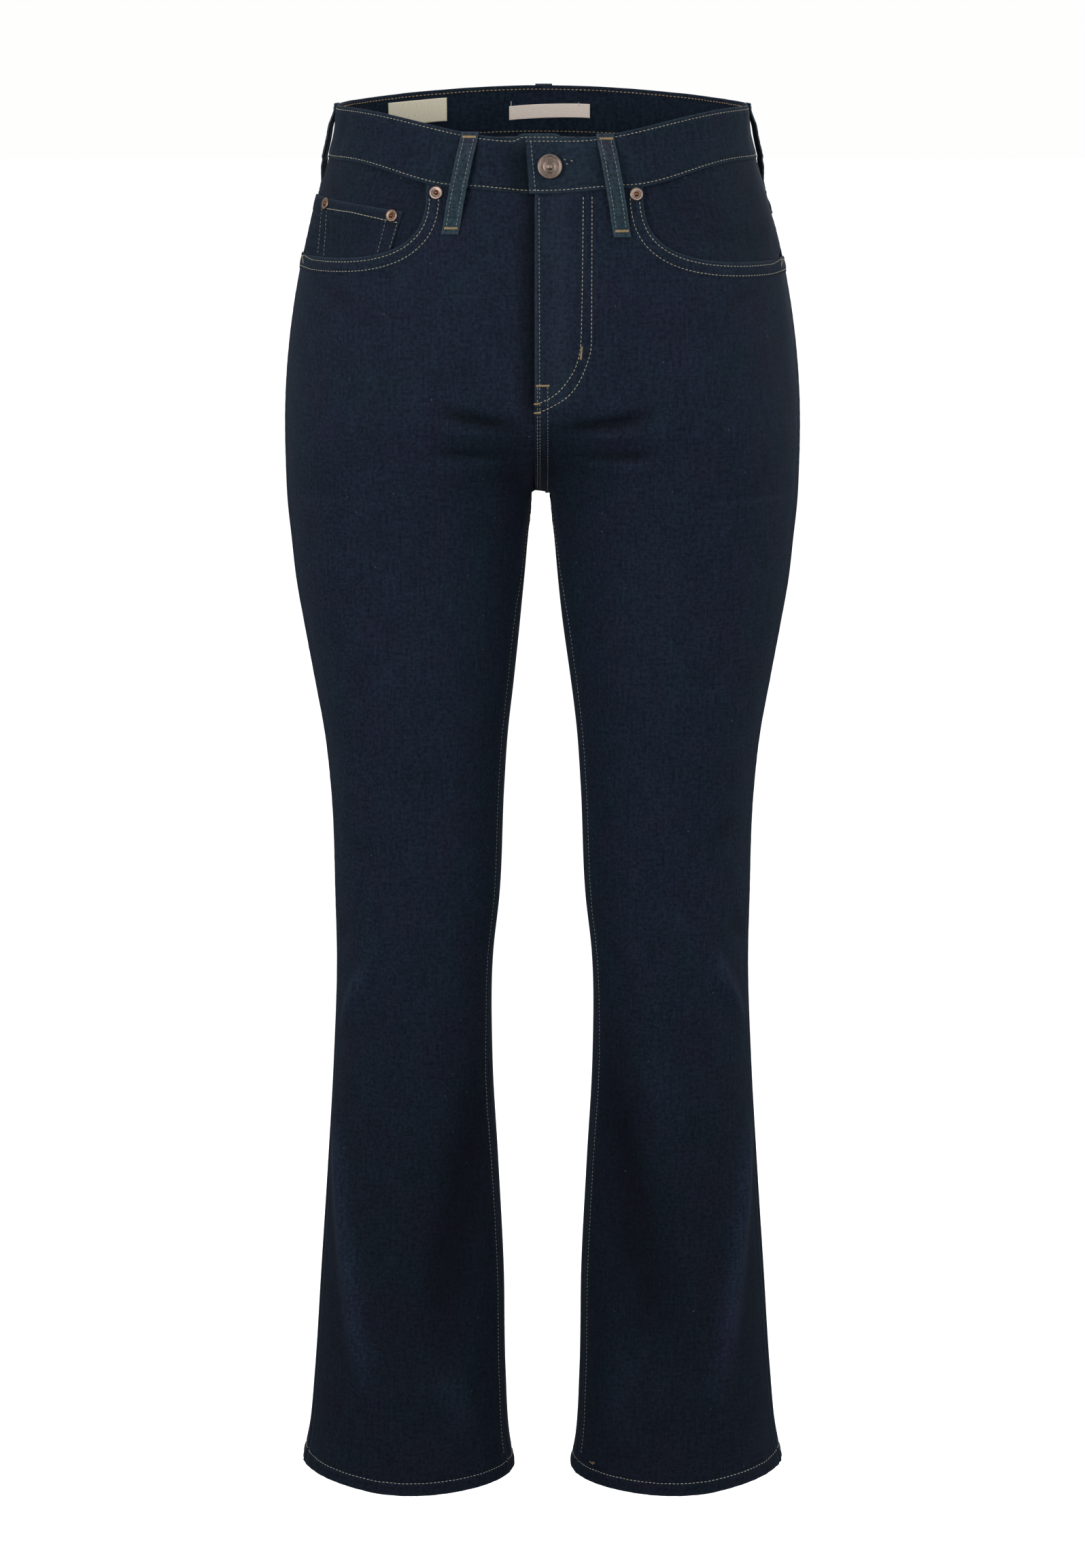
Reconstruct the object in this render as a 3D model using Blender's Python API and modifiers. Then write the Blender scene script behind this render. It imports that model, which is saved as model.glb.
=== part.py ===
"""Bootcut jeans, filled out and hollow as when worn, with no wearer.

Metres, +Z up. The front faces -Y and +X is the wearer's left. The origin is the middle of the
waist opening, level with the waistband's top edge at the two sides.

The cloth is worked out from horizontal sections. A point on a section is given by its turn, an
angle: 0 is the side silhouette, a right angle the foremost point, two right angles the inner end,
and negative turns run the same way round the back. Above the crotch the inner ends lie on the
centre seam. Below it, front and back meet at the inner leg and each leg is a closed tube.
"""

import math

import bmesh
import bpy
import numpy as np
from mathutils import Matrix, Vector
from mathutils.bvhtree import BVHTree

# Cloth walls, and the gap kept between pieces that are sewn together.
WALL = 0.0014
BAND_WALL = 0.0026
LOOP_WALL = 0.0018
LABEL_WALL = 0.0010
HEM_WALL = 0.0030
SEAM = 0.0003

# Waistband: its top edge and its lower seam, at the sides and at the centre front and back.
BAND_RISE = 0.0006
WAIST_HALF_WIDTH = 0.150
BAND_TOP = {"side": 0.0, "front": -0.0213, "back": 0.0108}
WAIST_SEAM = {"side": -0.0370, "front": -0.0556, "back": -0.0280}
DIP_POWER = 1.5
LAP_TOP_X = -0.0100
LAP_FOOT_X = -0.0041
UNDERLAP_X = 0.0280
UNDERLAP_START_X = -0.0360
UNDERLAP_SET_X = -0.0135
LAP_GAP = 0.0004
BAND_COLUMNS = 69
BAND_ROWS = 3

# Crotch, centre seam and inner leg.
CENTRE_X = -0.0053
CENTRE_RUN = 0.0040
CROTCH_Z = -0.267
CROTCH_Y = -0.005
CROTCH_FILL = 0.0040
CROTCH_SHARPNESS = 0.8
RISE_START = {"front": -0.197, "back": -0.140}
SETTLE_HEIGHT = 0.100
OUTSEAM_TURN = 0.26
OUTSEAM_START_Z = -0.060
OUTSEAM_RUN = 0.240
INSEAM_TURN = 0.30
ROUNDNESS = 2.15

# Hem.
HEM_Z = -0.989
HEM_HEIGHT = 0.0110
HEM_STEP = 0.0020

# Yoke seam on the back.
YOKE_SIDE_Z = -0.075
YOKE_CENTRE_Z = -0.100
YOKE_COLUMNS = 18
YOKE_ROWS = 4

# Sections from the waist down: the side silhouette and the inner leg from the middle of the body,
# the depths to front and back, and how far out the foremost and rearmost points of the cloth lie.
SECTIONS = (
    ("z", "outer", "inner", "front", "back", "crest"),
    (0.015, 0.1395, 0.0062, 0.0960, 0.0880, 0.000),
    (0.000, 0.1415, 0.0062, 0.0980, 0.0900, 0.000),
    (-0.019, 0.1435, 0.0062, 0.1000, 0.0925, 0.000),
    (-0.037, 0.1480, 0.0062, 0.1025, 0.0955, 0.000),
    (-0.060, 0.1550, 0.0062, 0.1055, 0.0990, 0.000),
    (-0.100, 0.1659, 0.0062, 0.1095, 0.1070, 0.016),
    (-0.150, 0.1752, 0.0062, 0.1105, 0.1190, 0.045),
    (-0.200, 0.1803, 0.0062, 0.1080, 0.1270, 0.072),
    (-0.250, 0.1809, 0.0062, 0.1020, 0.1190, 0.088),
    (-0.275, 0.1798, 0.0067, 0.0970, 0.1070, 0.093),
    (-0.300, 0.1772, 0.0091, 0.0920, 0.0960, 0.0935),
    (-0.330, 0.1739, 0.0118, 0.0890, 0.0870, 0.093),
    (-0.360, 0.1687, 0.0149, 0.0865, 0.0800, 0.092),
    (-0.400, 0.1614, 0.0198, 0.0830, 0.0720, 0.091),
    (-0.440, 0.1545, 0.0245, 0.0785, 0.0660, 0.0895),
    (-0.480, 0.1506, 0.0272, 0.0735, 0.0615, 0.089),
    (-0.560, 0.1484, 0.0308, 0.0650, 0.0565, 0.0895),
    (-0.600, 0.1478, 0.0352, 0.0620, 0.0560, 0.0915),
    (-0.680, 0.1510, 0.0361, 0.0560, 0.0610, 0.0935),
    (-0.760, 0.1562, 0.0321, 0.0530, 0.0670, 0.094),
    (-0.840, 0.1619, 0.0283, 0.0535, 0.0700, 0.095),
    (-0.920, 0.1675, 0.0270, 0.0580, 0.0710, 0.097),
    (-0.965, 0.1719, 0.0245, 0.0610, 0.0720, 0.098),
    (-0.989, 0.1762, 0.0208, 0.0630, 0.0730, 0.0985),
)

# Rows of a leg panel: each band runs to these heights on the side seam and on the inner edge.
# Front and back have the same rows on the seams that they share.
FRONT_ROWS = (
    ("side", "inner", "steps"),
    (-0.075, -0.1000, 2),
    (-0.170, -0.1970, 4),
    (-0.240, -0.2550, 6),
    (-0.262, -0.2670, 3),
)
BACK_ROWS = (
    ("side", "inner", "steps"),
    (-0.123, -0.1400, 2),
    (-0.170, -0.1800, 2),
    (-0.240, -0.2550, 6),
    (-0.262, -0.2670, 3),
)
LEG_ROWS = (
    ("side", "inner", "steps"),
    (-0.300, -0.2850, 2),
    (-0.400, -0.3900, 3),
    (-0.580, -0.5800, 4),
    (-0.665, -0.6650, 5),
    (-0.800, -0.8000, 4),
    (-0.978, -0.9780, 3),
    (-0.980, -0.9800, 1),
    (-0.989, -0.9890, 1),
)
PANEL_COLUMNS = 17

# Folds die out over this share of a row at the panel's edges.
FOLD_FADE = 0.12

# Folds: middle, reach along and across, height (below zero is a trough), and slope in degrees.
FOLDS = (
    ("side", "face", "x", "z", "reach", "width", "height", "slope"),
    (-1, "front", -0.0400, -0.2080, 0.034, 0.0070, -0.0024, -7.0),
    (-1, "front", -0.0400, -0.2340, 0.027, 0.0070, -0.0026, -8.0),
    (1, "front", 0.0360, -0.2140, 0.034, 0.0070, -0.0024, 5.0),
    (1, "front", 0.0420, -0.2360, 0.025, 0.0070, -0.0026, 8.0),
    (-1, "front", -0.1340, -0.6200, 0.026, 0.0085, 0.0030, 67.0),
    (1, "front", 0.1340, -0.6210, 0.027, 0.0085, 0.0030, -65.0),
    (-1, "front", -0.1370, -0.8370, 0.090, 0.0140, 0.0032, 97.0),
    (1, "front", 0.1355, -0.8370, 0.090, 0.0140, 0.0032, -97.0),
    (-1, "front", -0.0690, -0.7700, 0.085, 0.0200, -0.0028, 73.0),
    (1, "front", 0.0750, -0.7550, 0.085, 0.0200, -0.0028, -73.0),
    (-1, "back", -0.0900, -0.2860, 0.050, 0.0110, -0.0030, 12.0),
    (1, "back", 0.0880, -0.2900, 0.050, 0.0110, -0.0030, -12.0),
    (-1, "back", -0.0950, -0.5950, 0.040, 0.0110, -0.0026, -14.0),
    (1, "back", 0.0930, -0.6010, 0.040, 0.0110, -0.0026, 14.0),
)

# Front pocket mouth: a quarter of a flattened ellipse from the waist seam to the side seam.
MOUTH_TOP = 0.0731
MOUTH_END = 0.1650
MOUTH_TOP_Z = -0.0511
MOUTH_END_Z = -0.1044
MOUTH_POWER = 2.5
MOUTH_POINTS = 18
FACING_INNER = 0.0640
FACING_FOOT_Z = -0.1180
FACING_DROP = {"right": 0.0036, "left": 0.0018}
FACING_DIP_START = 0.45
FACING_DIP_RUN = 0.40

# Watch pocket on the right facing: its top corners, and how far down it runs.
WATCH_OUTER_X = -0.1520
WATCH_INNER_X = -0.0940
WATCH_INNER_FOOT_X = -0.1040
WATCH_OUTER_TOP_Z = -0.0605
WATCH_INNER_TOP_Z = -0.0668
WATCH_FOOT_Z = -0.1140

# Cutters for the pocket mouths and the watch pocket run past the front of the body on all sides.
CUT_TOP_Z = 0.020
CUT_SIDE_X = 0.250
CUT_FRONT_Y = -0.200
CUT_MIDDLE_Y = 0.060
WATCH_CUT_Y = 0.010

# Back pockets, seen square on at this turn outwards, measured from the upright through the origin.
POCKET_TURN = 0.50
POCKET_MIDDLE = 0.0330
POCKET_TOP_Z = -0.1200
POCKET_TILT = 0.0060
POCKET_HALF_WIDTH = 0.0640
POCKET_FOOT_HALF_WIDTH = 0.0550
POCKET_SIDE_HEIGHT = 0.1120
POCKET_POINT = 0.0220
POCKET_SPREAD = 0.0040
POCKET_CUT_NEAR_Y = 0.040
POCKET_CUT_FAR_Y = 0.220

# Belt loops: where each one's top and foot lie, as shares of the body's half-width, how much of
# its length is tacked down at the top, how much stands free, and the step off the band's edge.
LOOP_WIDTH = 0.0120
LOOP_BOW = 0.0034
LOOP_LENGTH = 0.0625
LOOP_ROWS = 13
LOOP_TACK = 0.06
LOOP_FREE = 0.84
LOOP_FLATNESS = 1.25
LOOP_STEP_DROP = 0.0040
LOOP_STEP_RUN = 0.0030
LOOPS = (
    ("name", "face", "side", "top", "foot"),
    ("belt_loop_front_right", "front", -1, 0.3475, 0.3774),
    ("belt_loop_front_left", "front", 1, 0.3008, 0.3425),
    ("belt_loop_side_right", "back", -1, 0.9950, 0.9850),
    ("belt_loop_side_left", "back", 1, 0.9950, 0.9850),
    ("belt_loop_back", "back", 1, 0.0060, 0.0060),
)

# Fly: the shield behind the zip, the zip's tape and chain, and the slider.
SHIELD_INNER_X = -0.0130
SHIELD_OUTER_X = 0.0340
SHIELD_FOOT_Z = -0.2000
SHIELD_LIFT = -0.0052
SHIELD_ROUND = 12.0
FLY_ROWS = 6
SHIELD_COLUMNS = 7
TAPE_TOP_Z = -0.0565
TAPE_FOOT_Z = -0.1900
TAPE_COLUMNS = (
    ("x", "lift", "wall"),
    (-0.0130, -0.0018, 0.0010),
    (-0.0060, -0.0034, 0.0010),
    (-0.0027, -0.0034, 0.0010),
    (-0.0023, -0.0031, 0.0016),
    (0.0023, -0.0031, 0.0016),
    (0.0027, -0.0034, 0.0010),
    (0.0060, -0.0034, 0.0010),
    (0.0130, -0.0018, 0.0010),
)
SLIDER_LIFT = -0.0018
SLIDER_WALL = 0.0010
SLIDER_ROWS = (
    ("z", "half"),
    (-0.0580, 0.0036),
    (-0.0605, 0.0044),
    (-0.0660, 0.0044),
    (-0.0690, 0.0032),
    (-0.0700, 0.0020),
    (-0.0840, 0.0024),
    (-0.0880, 0.0024),
    (-0.0895, 0.0014),
)

# Button and rivets, as turned profiles: radius and height above the cloth.
BUTTON_X = 0.0046
BUTTON_Z = -0.0375
BUTTON_PROFILE = (
    ("radius", "height"),
    (0.0000, 0.0046),
    (0.0016, 0.0044),
    (0.0026, 0.0034),
    (0.0040, 0.0034),
    (0.0046, 0.0038),
    (0.0074, 0.0034),
    (0.0084, 0.0038),
    (0.00865, 0.0030),
    (0.0082, 0.0016),
    (0.0050, 0.0010),
    (0.0050, 0.0000),
    (0.0000, 0.0000),
)
RIVET_PROFILE = (
    ("radius", "height"),
    (0.0000, 0.0016),
    (0.0012, 0.0014),
    (0.0017, 0.0007),
    (0.0026, 0.0007),
    (0.0044, 0.0011),
    (0.0050, 0.0006),
    (0.0050, 0.0000),
    (0.0000, 0.0000),
)
RIVETS = (
    ("name", "on", "x", "z", "seat"),
    ("rivet_pocket_right", "front_right", -0.0714, -0.0560, 0.0003),
    ("rivet_pocket_left", "front_left", 0.0633, -0.0564, 0.0003),
    ("rivet_watch_inner", "watch_pocket", -0.1016, -0.0718, 0.0006),
    ("rivet_watch_outer", "watch_pocket", -0.1475, -0.0665, 0.0006),
)
TURNED_STEPS = 16

# Labels on the inside of the back waistband: left and right ends, heights of the top corners.
LABEL_COLUMNS = 7
LABEL_ROWS = 3
LABELS = (
    ("name", "left", "right", "top_left", "top_right", "height"),
    ("woven_label", -0.1105, -0.0690, -0.0007, 0.0025, 0.0165),
    ("size_label", -0.0240, 0.0342, -0.0036, -0.0018, 0.0098),
)

SIDES = {"right": -1, "left": 1}
MATERIALS = {
    "denim": ((0.012, 0.017, 0.028), 0.85, 0.0),
    "denim_facing": ((0.013, 0.019, 0.030), 0.85, 0.0),
    "loop_denim": ((0.020, 0.030, 0.042), 0.85, 0.0),
    "button_metal": ((0.26, 0.19, 0.16), 0.38, 1.0),
    "rivet_copper": ((0.48, 0.27, 0.20), 0.35, 1.0),
    "cream_label": ((0.55, 0.50, 0.38), 0.80, 0.0),
    "white_label": ((0.75, 0.64, 0.56), 0.70, 0.0),
    "zip_tape": ((0.010, 0.013, 0.022), 0.85, 0.0),
    "zip_metal": ((0.30, 0.24, 0.17), 0.40, 1.0),
}
COLLECTION = "bootcut_jeans"
CUTTER_COLLECTION = "cutters"
POLYLINE_POINTS = 72


# ---------------------------------------------------------------- tables and curves


def rows_of(table):
    """Each row of a table as a dictionary of its named columns."""
    names = table[0]
    return [dict(zip(names, row)) for row in table[1:]]


def column(table, name):
    return np.array([row[name] for row in rows_of(table)], float)


def smooth_step(value):
    value = np.clip(value, 0.0, 1.0)
    return value * value * (3.0 - 2.0 * value)


def through(table, name, z):
    """A smooth curve through one column of a table whose rows fall in z."""
    down = -column(table, "z")
    values = column(table, name)
    slopes = np.gradient(values, down)
    at = np.clip(-np.asarray(z, float), down[0], down[-1])
    row = np.clip(np.searchsorted(down, at) - 1, 0, len(down) - 2)
    width = down[row + 1] - down[row]
    t = (at - down[row]) / width
    start = (1 + 2 * t) * (1 - t) ** 2 * values[row] + t * (1 - t) ** 2 * width * slopes[row]
    end = t * t * (3 - 2 * t) * values[row + 1] + t * t * (t - 1) * width * slopes[row + 1]
    return start + end


def power(value, exponent):
    return np.sign(value) * np.abs(value) ** exponent


# ---------------------------------------------------------------- the cloth's surface


def centre_dip(x):
    """0 at the side of the waist, 1 at its middle."""
    return 1.0 - np.clip(np.abs(x) / WAIST_HALF_WIDTH, 0.0, 1.0) ** DIP_POWER


def edge_height(edge, face, x):
    return edge["side"] + (edge[face] - edge["side"]) * centre_dip(x)


def seat_progress(face, z):
    """0 where the centre seam starts to curve under, 1 at the crotch."""
    start = RISE_START[face]
    return np.clip((start - z) / (start - CROTCH_Z), 0.0, 1.0)


def section(side, z, turn):
    """Points of the cloth's outer face on the sections at heights z, at the given turns."""
    z, turn = np.broadcast_arrays(np.asarray(z, float), np.asarray(turn, float))
    turn = np.where(turn < -math.pi, turn + 2 * math.pi, turn)
    turn = np.where(turn > math.pi, turn - 2 * math.pi, turn)
    forward = turn >= 0
    facing = np.where(forward, -1.0, 1.0)
    angle = np.abs(turn)

    outer = through(SECTIONS, "outer", z)
    crest = through(SECTIONS, "crest", z)
    front = through(SECTIONS, "front", z)
    back = through(SECTIONS, "back", z)
    middle_y = (back - front) / 2
    half_depth = (back + front) / 2

    seam_u = side * CENTRE_X + SEAM / 2
    fill = np.clip((CROTCH_Z - z) / CROTCH_FILL, 0.0, 1.0)
    opened = np.sqrt(1.0 - (1.0 - fill) ** 2)
    inner_u = seam_u + (through(SECTIONS, "inner", z) - seam_u) * opened

    # Outer quarter, from the side to the crest, stopped early where the seam lies outside it.
    reach = np.clip((seam_u + CENTRE_RUN - crest) / (outer - crest), 0.0, 1.0)
    last = np.arccos(reach ** (ROUNDNESS / 2))
    quarter = np.minimum(angle, math.pi / 2) * last / (math.pi / 2)
    outer_u = crest + (outer - crest) * power(np.cos(quarter), 2 / ROUNDNESS)
    outer_y = middle_y + facing * half_depth * power(np.sin(quarter), 2 / ROUNDNESS)

    # Inner part, from the crest to the inner end: a shallow dip high up, a round leg low down.
    start_u = crest + (outer - crest) * power(np.cos(last), 2 / ROUNDNESS)
    start_y = middle_y + facing * half_depth * power(np.sin(last), 2 / ROUNDNESS)
    progress = np.where(forward, seat_progress("front", z), seat_progress("back", z))
    under = 1.0 - np.sqrt(1.0 - progress**2)
    settled = smooth_step((CROTCH_Z - z) / SETTLE_HEIGHT)
    leg_y = CROTCH_Y + (middle_y - CROTCH_Y) * settled
    end_y = start_y + (leg_y - start_y) * np.where(z < CROTCH_Z, 1.0, under)
    sharp = CROTCH_SHARPNESS * progress**2 + (1 - CROTCH_SHARPNESS) * smooth_step(fill)
    along = np.clip(angle / (math.pi / 2) - 1.0, 0.0, 1.0)
    swing = along * math.pi / 2
    shallow_u = start_u + (inner_u - start_u) * along
    shallow_y = start_y + (end_y - start_y) * (1 - np.cos(math.pi * along)) / 2
    round_u = start_u + (inner_u - start_u) * np.sin(swing)
    round_y = start_y + (end_y - start_y) * (1 - np.cos(swing))
    inside_u = shallow_u + (round_u - shallow_u) * sharp
    inside_y = shallow_y + (round_y - shallow_y) * sharp

    outside = angle <= math.pi / 2
    u = np.where(outside, outer_u, inside_u)
    y = np.where(outside, outer_y, inside_y)
    return np.stack([side * u, y, z], axis=-1)


def skin(side, z, turn, lift=0.0):
    """Points moved off the cloth by lift, outwards along its normal."""
    step_turn = 2e-3
    step_z = 5e-4
    here = section(side, z, turn)
    after = clear_of_seam(z, turn + step_turn)
    before = clear_of_seam(z, turn - step_turn)
    round_cloth = section(side, z, after) - section(side, z, before)
    down_cloth = section(side, z - step_z, turn) - section(side, z + step_z, turn)
    normal = side * np.cross(round_cloth, down_cloth)
    normal /= np.linalg.norm(normal, axis=-1, keepdims=True)
    return here + normal * np.asarray(lift)[..., None]


def clear_of_seam(z, turn):
    """Keeps a turn from passing the centre seam above the crotch."""
    return np.where(np.asarray(z) > CROTCH_Z, np.clip(turn, -math.pi, math.pi), turn)


def outseam_turn(z):
    """The side seam lies forward of the silhouette on the legs."""
    return OUTSEAM_TURN * smooth_step((OUTSEAM_START_Z - z) / OUTSEAM_RUN)


def inseam_turn(z):
    """The inner seam lies forward of the legs' innermost line."""
    return INSEAM_TURN * smooth_step((CROTCH_Z - z) / SETTLE_HEIGHT)


def panel_ends(face, side_z, inner_z):
    """The turns at a panel's side seam and at its inner edge."""
    start = outseam_turn(side_z)
    if face == "front":
        return start, math.pi - inseam_turn(inner_z)
    return start, -math.pi - inseam_turn(inner_z)


def lay_row(side, ends, level, share):
    """Turns and heights at shares of the way along a row whose height is level(share, x)."""
    spread = np.linspace(0.0, 1.0, POLYLINE_POINTS)
    turn = ends[0] + (ends[1] - ends[0]) * spread
    z = level(spread, np.zeros(POLYLINE_POINTS))
    for _ in range(4):
        line = section(side, z, turn)
        steps = np.linalg.norm(np.diff(line, axis=0), axis=1)
        spread = np.concatenate([[0.0], np.cumsum(steps)])
        length = spread[-1]
        spread = spread / length
        z = level(spread, line[:, 0])
    trim = SEAM / 2 / length
    wanted = trim + (1 - 2 * trim) * share
    return np.interp(wanted, spread, turn), np.interp(wanted, spread, z)


def turn_at_x(side, face, z, x):
    """The turn where a section's front or back crosses x."""
    sign = 1.0 if face == "front" else -1.0
    turns = np.linspace(0.0, math.pi, 361)
    found = []
    for height, place in zip(np.ravel(z), np.ravel(x)):
        across = section(side, height, sign * turns)[:, 0] * side
        found.append(sign * np.interp(-side * place, -across, turns))
    return np.reshape(found, np.shape(x))


def grid_normals(points, side):
    """Outward normals of a grid whose rows run from the side seam inwards and go down."""
    across = np.gradient(points, axis=1, edge_order=2)
    down = np.gradient(points, axis=0, edge_order=2)
    normals = np.cross(across, down)
    normals /= np.linalg.norm(normals, axis=-1, keepdims=True)
    return normals * side


def fold_height(points, side, face):
    """How far the folds raise or sink the cloth at each point."""
    total = np.zeros(points.shape[:-1])
    for fold in rows_of(FOLDS):
        if fold["side"] != side or fold["face"] != face:
            continue
        slope = math.radians(fold["slope"])
        x = points[..., 0] - fold["x"]
        z = points[..., 2] - fold["z"]
        along = x * math.cos(slope) + z * math.sin(slope)
        across = z * math.cos(slope) - x * math.sin(slope)
        shape = np.exp(-((along / fold["reach"]) ** 4) - (across / fold["width"]) ** 2)
        total += fold["height"] * shape
    return total


def wall_at(z):
    """The wall, which is doubled over at the hem."""
    hem = (HEM_Z + HEM_HEIGHT - z) / HEM_STEP
    return WALL + (HEM_WALL - WALL) * np.clip(hem, 0.0, 1.0)


# ---------------------------------------------------------------- grids of cloth


def row_levels(top, face):
    """Heights on the side seam and on the inner edge for each row of a leg panel."""
    side_z = [top["side"]]
    inner_z = [top["inner"]]
    body_rows = FRONT_ROWS if face == "front" else BACK_ROWS
    for band in rows_of(body_rows) + rows_of(LEG_ROWS):
        share = np.arange(1, band["steps"] + 1) / band["steps"]
        side_z += list(side_z[-1] + (band["side"] - side_z[-1]) * share)
        inner_z += list(inner_z[-1] + (band["inner"] - inner_z[-1]) * share)
    return np.array(side_z), ease_rise(np.array(inner_z), face)


def ease_rise(inner_z, face):
    """Spaces the rows on the curve under the crotch evenly along it."""
    start = RISE_START[face]
    count = int(((inner_z < start) & (inner_z >= CROTCH_Z - 1e-9)).sum())
    first = int(np.argmax(inner_z < start - 1e-9))
    turns = np.arange(1, count + 1) / count * math.pi / 2
    inner_z[first : first + count] = start - (start - CROTCH_Z) * np.sin(turns)
    return inner_z


def panel_grid(side, face, top_level, columns):
    """The outer face of a leg panel: rows from its top seam to the hem."""
    share = np.linspace(0.0, 1.0, columns)
    top = {
        "side": float(top_level(np.zeros(1), np.array([WAIST_HALF_WIDTH]))[0]),
        "inner": float(top_level(np.ones(1), np.zeros(1))[0]),
    }
    sides, inners = row_levels(top, face)
    grid = []
    for row, (side_z, inner_z) in enumerate(zip(sides, inners)):
        level = top_level if row == 0 else fan_level(side_z, inner_z)
        turn, z = lay_row(side, panel_ends(face, side_z, inner_z), level, share)
        grid.append(section(side, z, turn))
    grid = np.array(grid)
    normals = grid_normals(grid, side) * (1 if face == "front" else -1)
    faded = smooth_step(np.minimum(share, 1.0 - share) / FOLD_FADE)
    return grid + normals * (fold_height(grid, side, face) * faded)[..., None]


def fan_level(side_z, inner_z):
    return lambda share, x: side_z + (inner_z - side_z) * smooth_step(share)


def waist_level(face):
    return lambda share, x: edge_height(WAIST_SEAM, face, x) - SEAM / 2


def yoke_level(shift):
    plain = fan_level(YOKE_SIDE_Z, YOKE_CENTRE_Z)
    return lambda share, x: plain(share, x) + shift


def mesh_object(name, vertices, faces, material):
    mesh = bpy.data.meshes.new(name)
    mesh.from_pydata([tuple(map(float, v)) for v in vertices], [], faces)
    mesh.validate()
    made = bpy.data.objects.new(name, mesh)
    bpy.data.collections[COLLECTION].objects.link(made)
    mesh.materials.append(bpy.data.materials[material])
    face_out(mesh)
    mesh.shade_smooth()
    mesh.set_sharp_from_angle(angle=math.radians(40))
    return made


def face_out(mesh):
    """Turns the faces of a closed mesh outwards."""
    shell = bmesh.new()
    shell.from_mesh(mesh)
    bmesh.ops.recalc_face_normals(shell, faces=shell.faces)
    if shell.calc_volume(signed=True) < 0:
        bmesh.ops.reverse_faces(shell, faces=shell.faces)
    shell.to_mesh(mesh)
    shell.free()


def cloth_solid(name, outer, inner, material):
    """A closed wall between two grids, in triangles split the same way in every layer."""
    rows, columns = outer.shape[:2]
    index = np.arange(rows * columns).reshape(rows, columns)
    under = index + rows * columns
    faces = []
    for r in range(rows - 1):
        for c in range(columns - 1):
            corners = (r, c), (r + 1, c), (r + 1, c + 1), (r, c + 1)
            for triangle in (corners[:3], (corners[0], corners[2], corners[3])):
                faces.append([int(index[corner]) for corner in triangle])
                faces.append([int(under[corner]) for corner in reversed(triangle)])
    border = [(0, c) for c in range(columns)]
    border += [(r, columns - 1) for r in range(1, rows)]
    border += [(rows - 1, c) for c in range(columns - 2, -1, -1)]
    border += [(r, 0) for r in range(rows - 2, 0, -1)]
    for here, after in zip(border, border[1:] + border[:1]):
        rim = index[here], index[after], under[after], under[here]
        faces.append([int(corner) for corner in rim])
    vertices = np.concatenate([outer.reshape(-1, 3), inner.reshape(-1, 3)])
    return mesh_object(name, vertices, faces, material)


def layer_solid(name, side, face, grid, lift, wall, material):
    """A layer made from a panel's own points, its outer face moved off them by lift."""
    normals = grid_normals(grid, side) * (1 if face == "front" else -1)
    lift = np.broadcast_to(lift, grid.shape[:2])
    outer = grid + normals * lift[..., None]
    inner = grid + normals * (lift - wall)[..., None]
    return cloth_solid(name, outer, inner, material)


def prism(name, outline, near, far, turned=0.0):
    """A cutter with an upright outline, straight along Y from near to far, then turned about Z."""
    count = len(outline)
    about = Matrix.Rotation(turned, 3, "Z")
    vertices = [about @ Vector((x, y, z)) for y in (near, far) for x, z in outline]
    faces = [list(range(count)), list(range(2 * count - 1, count - 1, -1))]
    faces += [[i, (i + 1) % count, (i + 1) % count + count, i + count] for i in range(count)]
    mesh = bpy.data.meshes.new(name)
    mesh.from_pydata(vertices, [], faces)
    face_out(mesh)
    cutter = bpy.data.objects.new(name, mesh)
    cutter.hide_render = True
    cutter.display_type = "WIRE"
    bpy.data.collections[CUTTER_COLLECTION].objects.link(cutter)
    return cutter


def shape_by(piece, cutter, operation, solver="EXACT"):
    cut = piece.modifiers.new(cutter.name, "BOOLEAN")
    cut.operation = operation
    cut.solver = solver
    cut.object = cutter


# ---------------------------------------------------------------- leg panels and yokes


def make_front(name, side):
    grid = panel_grid(side, "front", waist_level("front"), PANEL_COLUMNS)
    panel = layer_solid("front_" + name, side, "front", grid, 0.0, wall_at(grid[..., 2]), "denim")
    x, z = mouth_points(side)
    corners = [(side * CUT_SIDE_X, z[-1]), (side * CUT_SIDE_X, CUT_TOP_Z)]
    outline = [(x[0], CUT_TOP_Z)] + list(zip(x, z)) + corners
    cutter = prism("mouth_cutter_" + name, outline, CUT_FRONT_Y, CUT_MIDDLE_Y)
    shape_by(panel, cutter, "DIFFERENCE")
    make_facing(name, side, grid)
    if name == "right":
        make_watch_pocket(side, grid)


def make_back(name, side):
    grid = panel_grid(side, "back", yoke_level(-SEAM / 2), PANEL_COLUMNS)
    layer_solid("back_" + name, side, "back", grid, 0.0, wall_at(grid[..., 2]), "denim")
    make_yoke(name, side)
    make_back_pocket(name, side, grid)


def make_yoke(name, side):
    share = np.linspace(0.0, 1.0, YOKE_COLUMNS)
    top_ends = panel_ends("back", WAIST_SEAM["side"], WAIST_SEAM["back"])
    foot_ends = panel_ends("back", YOKE_SIDE_Z, YOKE_CENTRE_Z)
    top_turn, top_z = lay_row(side, top_ends, waist_level("back"), share)
    foot_turn, foot_z = lay_row(side, foot_ends, yoke_level(SEAM / 2), share)
    down = np.linspace(0.0, 1.0, YOKE_ROWS)[:, None]
    turn = top_turn + (foot_turn - top_turn) * down
    z = top_z + (foot_z - top_z) * down
    outer = skin(side, z, turn, 0.0)
    cloth_solid("yoke_" + name, outer, skin(side, z, turn, -WALL), "denim")


# ---------------------------------------------------------------- pockets


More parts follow.
